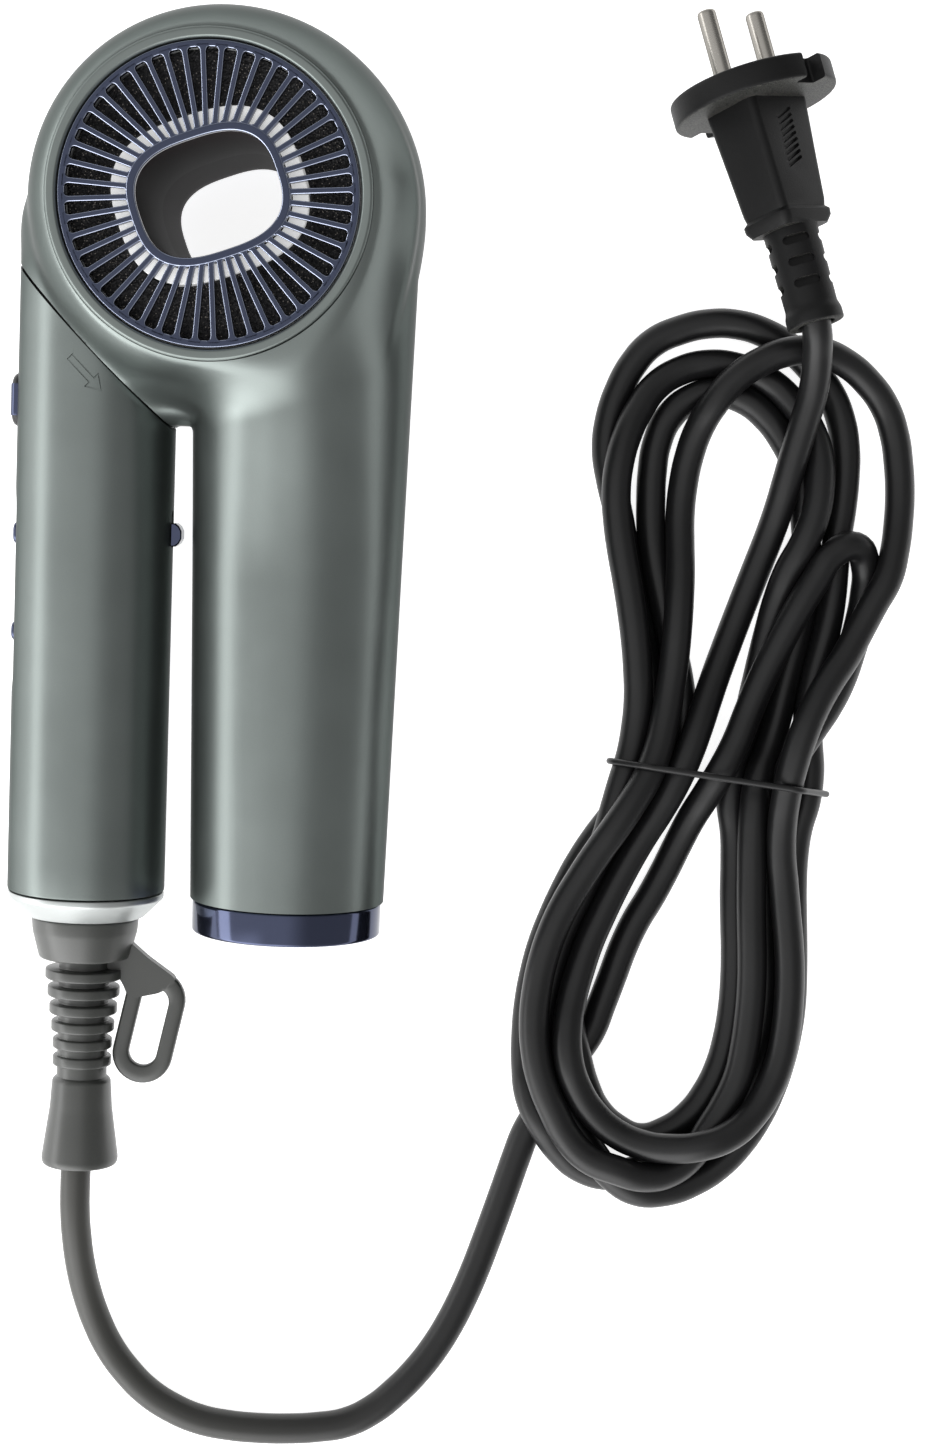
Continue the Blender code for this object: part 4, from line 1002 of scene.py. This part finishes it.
def make_handle():
    steps = 24
    grown, stretch = HANDLE_END_RADIUS - HANDLE_TOP_RADIUS, HANDLE_END - 0.0008 - HANDLE_TOP
    outer = [(HANDLE_TOP_RADIUS + grown * i / steps, HANDLE_TOP + stretch * i / steps)
             for i in range(steps + 1)]
    outer += [(HANDLE_END_RADIUS - 0.0001, HANDLE_END - 0.0002), (HANDLE_END_RADIUS - 0.0004, HANDLE_END)]
    inner = [(HANDLE_END_RADIUS - WALL, HANDLE_END), (HANDLE_TOP_RADIUS - WALL, HANDLE_TOP)]
    shell = add("handle_grip", lathe(outer + inner, 192, loop=True), HANDLE)
    cut(shell, block((-0.08, -0.05, -0.08), (0.08, 0.05, SEAM_HALF)), SEAM_FRAME)
    for name, body, low, high in (("seam_collar_head", "head", -0.003, -0.00008),
                                  ("seam_collar_handle", "handle", 0.00008, 0.003)):
        collar = add(name, rod(0.0192, -0.01, 0.09, 128), HANDLE)
        cut(collar, block((-0.06, -0.06, low), (0.06, 0.06, high)), SEAM_FRAME, "INTERSECT")
        cut(collar, rod(0.0155, -0.02, 0.02, 96), SEAM_FRAME)
        wear(collar, "black_plastic", body)
    cut(shell, pill(0.0147, 0.0085, 0.0, 0.03, y=COOL_Y), LEFT)
    cut(shell, pill(0.0096, 0.0036, 0.0, 0.03, y=SLOT_Y), RIGHT)
    # the shallow scoop around the controls, and the window of the inlay strip in its floor
    scoop = [[(x, SCOOP_Y + y, height) for x, y in capsule(0.055 - 2 * inset, 0.019 - 2 * inset, 24)]
             for inset, height in ((0.0022, 0.0186), (0.0014, 0.0187), (0.0006, 0.0192), (0.0, 0.0204),
                                   (-0.001, 0.03))]
    cut(shell, stack(scoop), LEFT)
    cut(shell, pill(0.0472, 0.0112, 0.0, 0.03, y=STRIP_Y), LEFT)
    for tool in arrow_tools():
        cut(shell, tool)
    wear(shell, "shell_satin", "handle", "handle_shell")
    smooth(shell, 30)

    panel = add("control_strip", pill(0.0466, 0.0106, 0.0168, 0.0183, 0.0004, STRIP_Y), LEFT)
    for y in (HEAT_Y, SPEED_Y):
        cut(panel, pill(0.0062, 0.0052, 0.01, 0.03, y=y), LEFT)
    wear(panel, "blue_chrome", "handle", "control_panel")

    cap = rounded([(HANDLE_END_RADIUS - 0.0001, HANDLE_END + GAP), (HANDLE_END_RADIUS - 0.0001, 0.1748),
                   (CAP_END_RADIUS + 0.0004, CAP_END), (0.0065, CAP_END), (0.0065, HANDLE_END + GAP)],
                  0.0004, 3, loop=True)
    wear(add("end_cap", lathe(cap, 160, loop=True), HANDLE, angle=50), "satin_silver", "handle",
         "handle_end_cap")


def arrow_tools():
    """Cutters of the engraved outline arrow beside the seam."""
    along = Vector((0.7071, -0.7071))
    across = Vector((0.7071, 0.7071))
    tail = Vector((-0.0351, -0.0385))
    shaft, barb, length, neck = 0.0008, 0.0022, 0.0112, 0.0078
    half_line, depth = 0.00017, 0.00045
    outline = [(0, -shaft), (neck, -shaft), (neck, -barb), (length, 0), (neck, barb), (neck, shaft),
               (0, shaft)]
    corners = [tail + along * u + across * v for u, v in outline]
    tools = []
    for a, b in zip(corners, corners[1:] + corners[:1]):
        run = (b - a).normalized() * half_line
        side = Vector((-run.y, run.x))
        a, b = a - run, b + run
        quad = [a - side, b - side, b + side, a + side]
        middle = sum(quad, Vector((0, 0))) / 4
        surface_height = sqrt(max(0, HANDLE_TOP_RADIUS ** 2 - (middle.x - HANDLE_X) ** 2))
        tools.append(extruded([tuple(q) for q in quad], surface_height - depth, 0.03))
    return tools


def make_controls():
    # the cool-shot button: a black capsule with a polished inlay across its middle
    cool = pill(0.0137, 0.0075, 0.0152, 0.0214, 0.002, COOL_Y, 8)
    wear(add("cool_shot_body", cool, LEFT), "black_plastic", "cool_shot_button", "cool_shot_button")
    inlay = add("cool_shot_inlay", pill(0.0137, 0.0076, 0.017, 0.0216, 0.0018, COOL_Y, 8), LEFT)
    band = block((-0.006, COOL_Y - 0.004, 0.0165), (0.006, COOL_Y + 0.004, 0.023), 0.0003, 2)
    cut(inlay, band, LEFT, "INTERSECT")
    wear(inlay, "blue_chrome", "cool_shot_button")
    for name, y, length in (("heat_button", HEAT_Y, 0.0054), ("speed_button", SPEED_Y, 0.0048)):
        knob = pill(length, 0.0044, 0.0118, 0.0205, 0.0008, y, 6)
        wear(add(name + "_cap", knob, LEFT), "blue_chrome", name, name)

    # faceted thumb slider
    half = [(0.00295, 0.0203), (0.00295, 0.021), (0.0022, 0.0219), (0.001, 0.0225)]
    outline = [(-v, w) for v, w in half] + half[::-1]
    knob = stack([[(x, SLIDER_Y + v * shrink, w - (0.0003 if shrink < 1 else 0)) for v, w in outline]
                  for x, shrink in ((-0.003, 0.9), (-0.0026, 1), (0.0026, 1), (0.003, 0.9))])
    stem = block((-0.0013, SLIDER_Y - 0.0019, 0.0165), (0.0013, SLIDER_Y + 0.0019, 0.0208))
    foot = block((-0.0036, SLIDER_Y - 0.0045, 0.0155), (0.0036, SLIDER_Y + 0.0045, 0.0168), 0.0002, 2)
    wear(add("thumb_slider", joined([knob, stem, foot]), RIGHT, angle=25), "blue_chrome", "power_slider",
         "power_slider")


# ---- strain relief and loop ---------------------------------------------------------------------

def make_strain_relief():
    """A ribbed sleeve with a bell mouth, and the hanging loop moulded onto it."""
    top = CAP_END + GAP
    profile = [(0.0041, 0.229), (0.0041, 0.176), (0.0062, 0.176), (0.0062, top)]
    profile += rounded([(0.0062, top), (0.0137, top), (0.0134, 0.1836), (0.0116, 0.1906),
                        (0.0064, 0.1914)], 0.0006)[1:]
    for i, radius in enumerate((0.0099, 0.00925, 0.0087, 0.0081, 0.0076, 0.0075)):
        start = 0.1935 + i * 0.00455
        stop = start + 0.0026
        profile += rounded([(0.0064, start - 0.0004), (0.0064, start), (radius, start), (radius, stop),
                            (0.0064, stop), (0.0064, stop + 0.0004)], 0.0005, 3)
    profile += rounded([(0.0064, 0.2218), (0.0075, 0.2226), (0.008, 0.23), (0.0099, RELIEF_END - 0.0015),
                        (0.0094, RELIEF_END), (0.008, RELIEF_END - 0.0005), (0.0052, 0.238),
                        (0.0041, 0.229)], 0.0008, 4)
    relief = add("strain_relief_sleeve", lathe(profile, 72, loop=True), HANDLE, angle=40, weld=1e-6)

    tilt = radians(12)
    centre = Vector((0.0172, 0.2082))
    half = 0.0015

    def loop_ring(depth, length, width):
        return [(centre.x + x * cos(tilt) - y * sin(tilt), -depth, centre.y + x * sin(tilt) + y * cos(tilt))
                for x, y in capsule(length, width, 20)]

    edge = ((-half, 0.0006), (-half * 0.8, 0.0002), (-half * 0.35, 0), (half * 0.35, 0),
            (half * 0.8, 0.0002), (half, 0.0006))
    outside = [loop_ring(depth, 0.03 - 2 * inset, 0.0155 - 2 * inset) for depth, inset in edge]
    inside = [loop_ring(depth, 0.0206 + 2 * grow, 0.0072 + 2 * grow) for depth, grow in edge[::-1]]
    loop = add("loop", stack(outside + inside, loop=True), HANDLE, angle=40)
    arm = rounded([(0.003, 0.1845), (0.01, 0.1845), (0.0165, 0.19), (0.0245, 0.1955), (0.0205, 0.199),
                   (0.012, 0.201), (0.0098, 0.196), (0.003, 0.1905)], 0.002, 4, loop=True)
    plate = [[(x, depth, y) for x, y in arm] for depth in (half, -half)]
    cut(loop, stack(plate), HANDLE, "UNION", solver="EXACT")
    combine(relief, loop, "UNION", solver="EXACT")
    smooth(relief, 38)
    wear(relief, "relief_grey", "handle", "strain_relief")
    return relief


# ---- plug ---------------------------------------------------------------------------------------

def tapered_body(rows, corner):
    """A rounded rectangular body from (width, height, z) rows."""
    rings = []
    for width, height, z in rows:
        ring = []
        for sx, sy, start in ((1, 1, 0), (-1, 1, pi / 2), (-1, -1, pi), (1, -1, 3 * pi / 2)):
            for k in range(6):
                a = start + pi / 2 * k / 5
                ring.append((sx * (width / 2 - corner) + corner * cos(a),
                             sy * (height / 2 - corner) + corner * sin(a), z))
        rings.append(ring)
    return stack(rings)


def make_plug():
    flange = rounded([(0.0001, 0), (0.0213, 0), (0.0213, 0.0065), (0.0001, 0.0065)], 0.001, 4)
    body = add("plug_moulding", lathe(flange, 128), PLUG, angle=40)
    grip = tapered_body([(0.0228, 0.0165, 0.004), (0.0226, 0.0163, 0.008), (0.02, 0.0152, 0.023),
                         (0.0184, 0.0144, 0.0335), (0.0176, 0.014, 0.0352), (0.0166, 0.013, 0.0362)],
                        0.002)
    cut(body, grip, PLUG, "UNION")
    collar = tapered_body([(0.018, 0.014, 0.0352), (0.0196, 0.0156, 0.0362), (0.0194, 0.0154, 0.0378),
                           (0.0176, 0.0136, 0.0395)], 0.0024)
    cut(body, collar, PLUG, "UNION")
    sleeve = rounded([(0.0001, 0.038), (0.0071, 0.038), (0.0068, 0.06), (0.0074, 0.0618),
                      (0.0074, PLUG_LENGTH), (0.0046, PLUG_LENGTH), (0.0041, 0.056), (0.0001, 0.056)],
                     0.0007, 4)
    cut(body, lathe(sleeve, 72), PLUG, "UNION")
    for y in (-0.0198, 0.0198):
        notch = block((-0.0035, y - 0.003, -0.001), (0.0035, y + 0.003, 0.008), 0.0006)
        cut(body, notch, PLUG)
    # slanted grip ridges are left standing between grooves on both broad faces
    for side in (-1, 1):
        for i in range(9):
            z = 0.0108 + 0.0016 * i
            top = side * (0.0082 - 0.00012 * i)
            groove = block((-0.0032, -0.0006, -0.00042), (0.0032, 0.0006, 0.00042), 0.0002, 2)
            place = PLUG @ Matrix.Translation((0, top, z)) @ Matrix.Rotation(radians(24) * side, 4, "Y")
            cut(body, groove, place)
    # three rows of oval slots around the sleeve
    for quarter in range(4):
        for row in range(3):
            angle = pi / 4 + quarter * pi / 2
            z = 0.043 + 0.0056 * row
            hole = pill(0.0068, 0.0024, 0.0048, 0.01, steps=2)
            place = (PLUG @ Matrix.Translation((0, 0, z)) @ Matrix.Rotation(angle, 4, "Z")
                     @ Matrix.Rotation(pi / 2, 4, "Y"))
            cut(body, hole, place)
    smooth(body, 38)
    wear(body, "plug_black", "handle", "plug_body")
    pins = []
    for name, side in (("plug_pin_upper", -1), ("plug_pin_lower", 1)):
        profile = rounded([(0.0001, -PIN_LENGTH), (PIN_RADIUS, -PIN_LENGTH), (PIN_RADIUS, 0.0056),
                           (0.0001, 0.0056)], 0.0016, 6)
        place = PLUG @ Matrix.Translation((side * PIN_SPACING / 2, 0, 0))
        pins.append(wear(add(name + "_polished", lathe(profile, 48), place), "steel", "handle", name))
    return [body] + pins


# ---- table and light ----------------------------------------------------------------------------

def make_floor():
    bm = bmesh.new()
    bmesh.ops.create_grid(bm, x_segments=2, y_segments=2, size=3.0)
    floor = add("table_top", bm, Matrix.Translation((0, 0, -0.0001)))
    floor.data.materials.append(surface("table_paper", (0.8, 0.8, 0.8), 0.85, tint=0.004, grain=700,
                                        bump=0.02, specular=0.1, glow=0.86))


def make_lights():
    """A white room that is darker to the right and the back, and a long weak lamp on the left."""
    scene = bpy.context.scene
    scene.view_settings.view_transform = "Standard"
    world = bpy.data.worlds.new("studio")
    world.use_nodes = True
    tree = world.node_tree
    back = tree.nodes["Background"]
    back.inputs["Color"].default_value = (1, 1, 1, 1)
    where = tree.nodes.new("ShaderNodeTexCoord")
    axes = grow(tree, "SeparateXYZ", {"Vector": where.outputs["Generated"]}).outputs

    def faded_light(x_fade, y_fade):
        """Brightness that changes smoothly along X and along Y: start, stop, first, last."""
        return maths(tree, "MULTIPLY", remap(tree, axes["X"], *x_fade, smooth_step=True),
                     remap(tree, axes["Y"], *y_fade, smooth_step=True))

    dome = faded_light((0.00, 0.55, 1.12, 0.42), (0.1, 0.7, 1.0, 0.6))
    low = faded_light((-0.15, 0.4, 1.0, 0.1), (-0.4, -0.78, 0.0, 3.0))
    corner = faded_light((-0.3, -0.65, 0.0, 1.6), (-0.22, -0.48, 0.0, 1.0))
    total = maths(tree, "ADD", maths(tree, "ADD", dome, low), corner)
    tree.links.new(total, back.inputs["Strength"])
    scene.world = world

    data = bpy.data.lights.new("left_strip", "AREA")
    data.shape = "RECTANGLE"
    data.size, data.size_y = 1.3, 0.28
    data.energy = 4
    lamp = linked("left_strip", data)
    lamp.location = (-0.9, -0.05, 0.24)
    lamp.rotation_mode = "QUATERNION"
    lamp.rotation_quaternion = (Vector((0.05, 0, 0.04)) - lamp.location).to_track_quat("-Z", "Y")


# ---- carried-over pieces ------------------------------------------------------------------------

def dress_frame():
    """Every CAD node that stays gets the finish of its own material slot."""
    for name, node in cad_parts.items():
        for place, used in enumerate(node.material_slots):
            old = used.material.name.split(".")[0] if used.material else "black_plastic"
            node.material_slots[place].material = PAINT.get(old, PAINT["black_plastic"])


def main():
    make_camera()
    cord, path, length = make_cord()
    tie = make_tie(path)
    make_head_shells()
    for name, side in (("front", 1), ("rear", -1)):
        make_bezel(name, side)
        make_grille(name, side)
    make_duct()
    make_outlet()
    make_handle()
    make_controls()
    relief = make_strain_relief()
    plug = make_plug()
    dress_frame()
    make_floor()
    make_lights()


main()
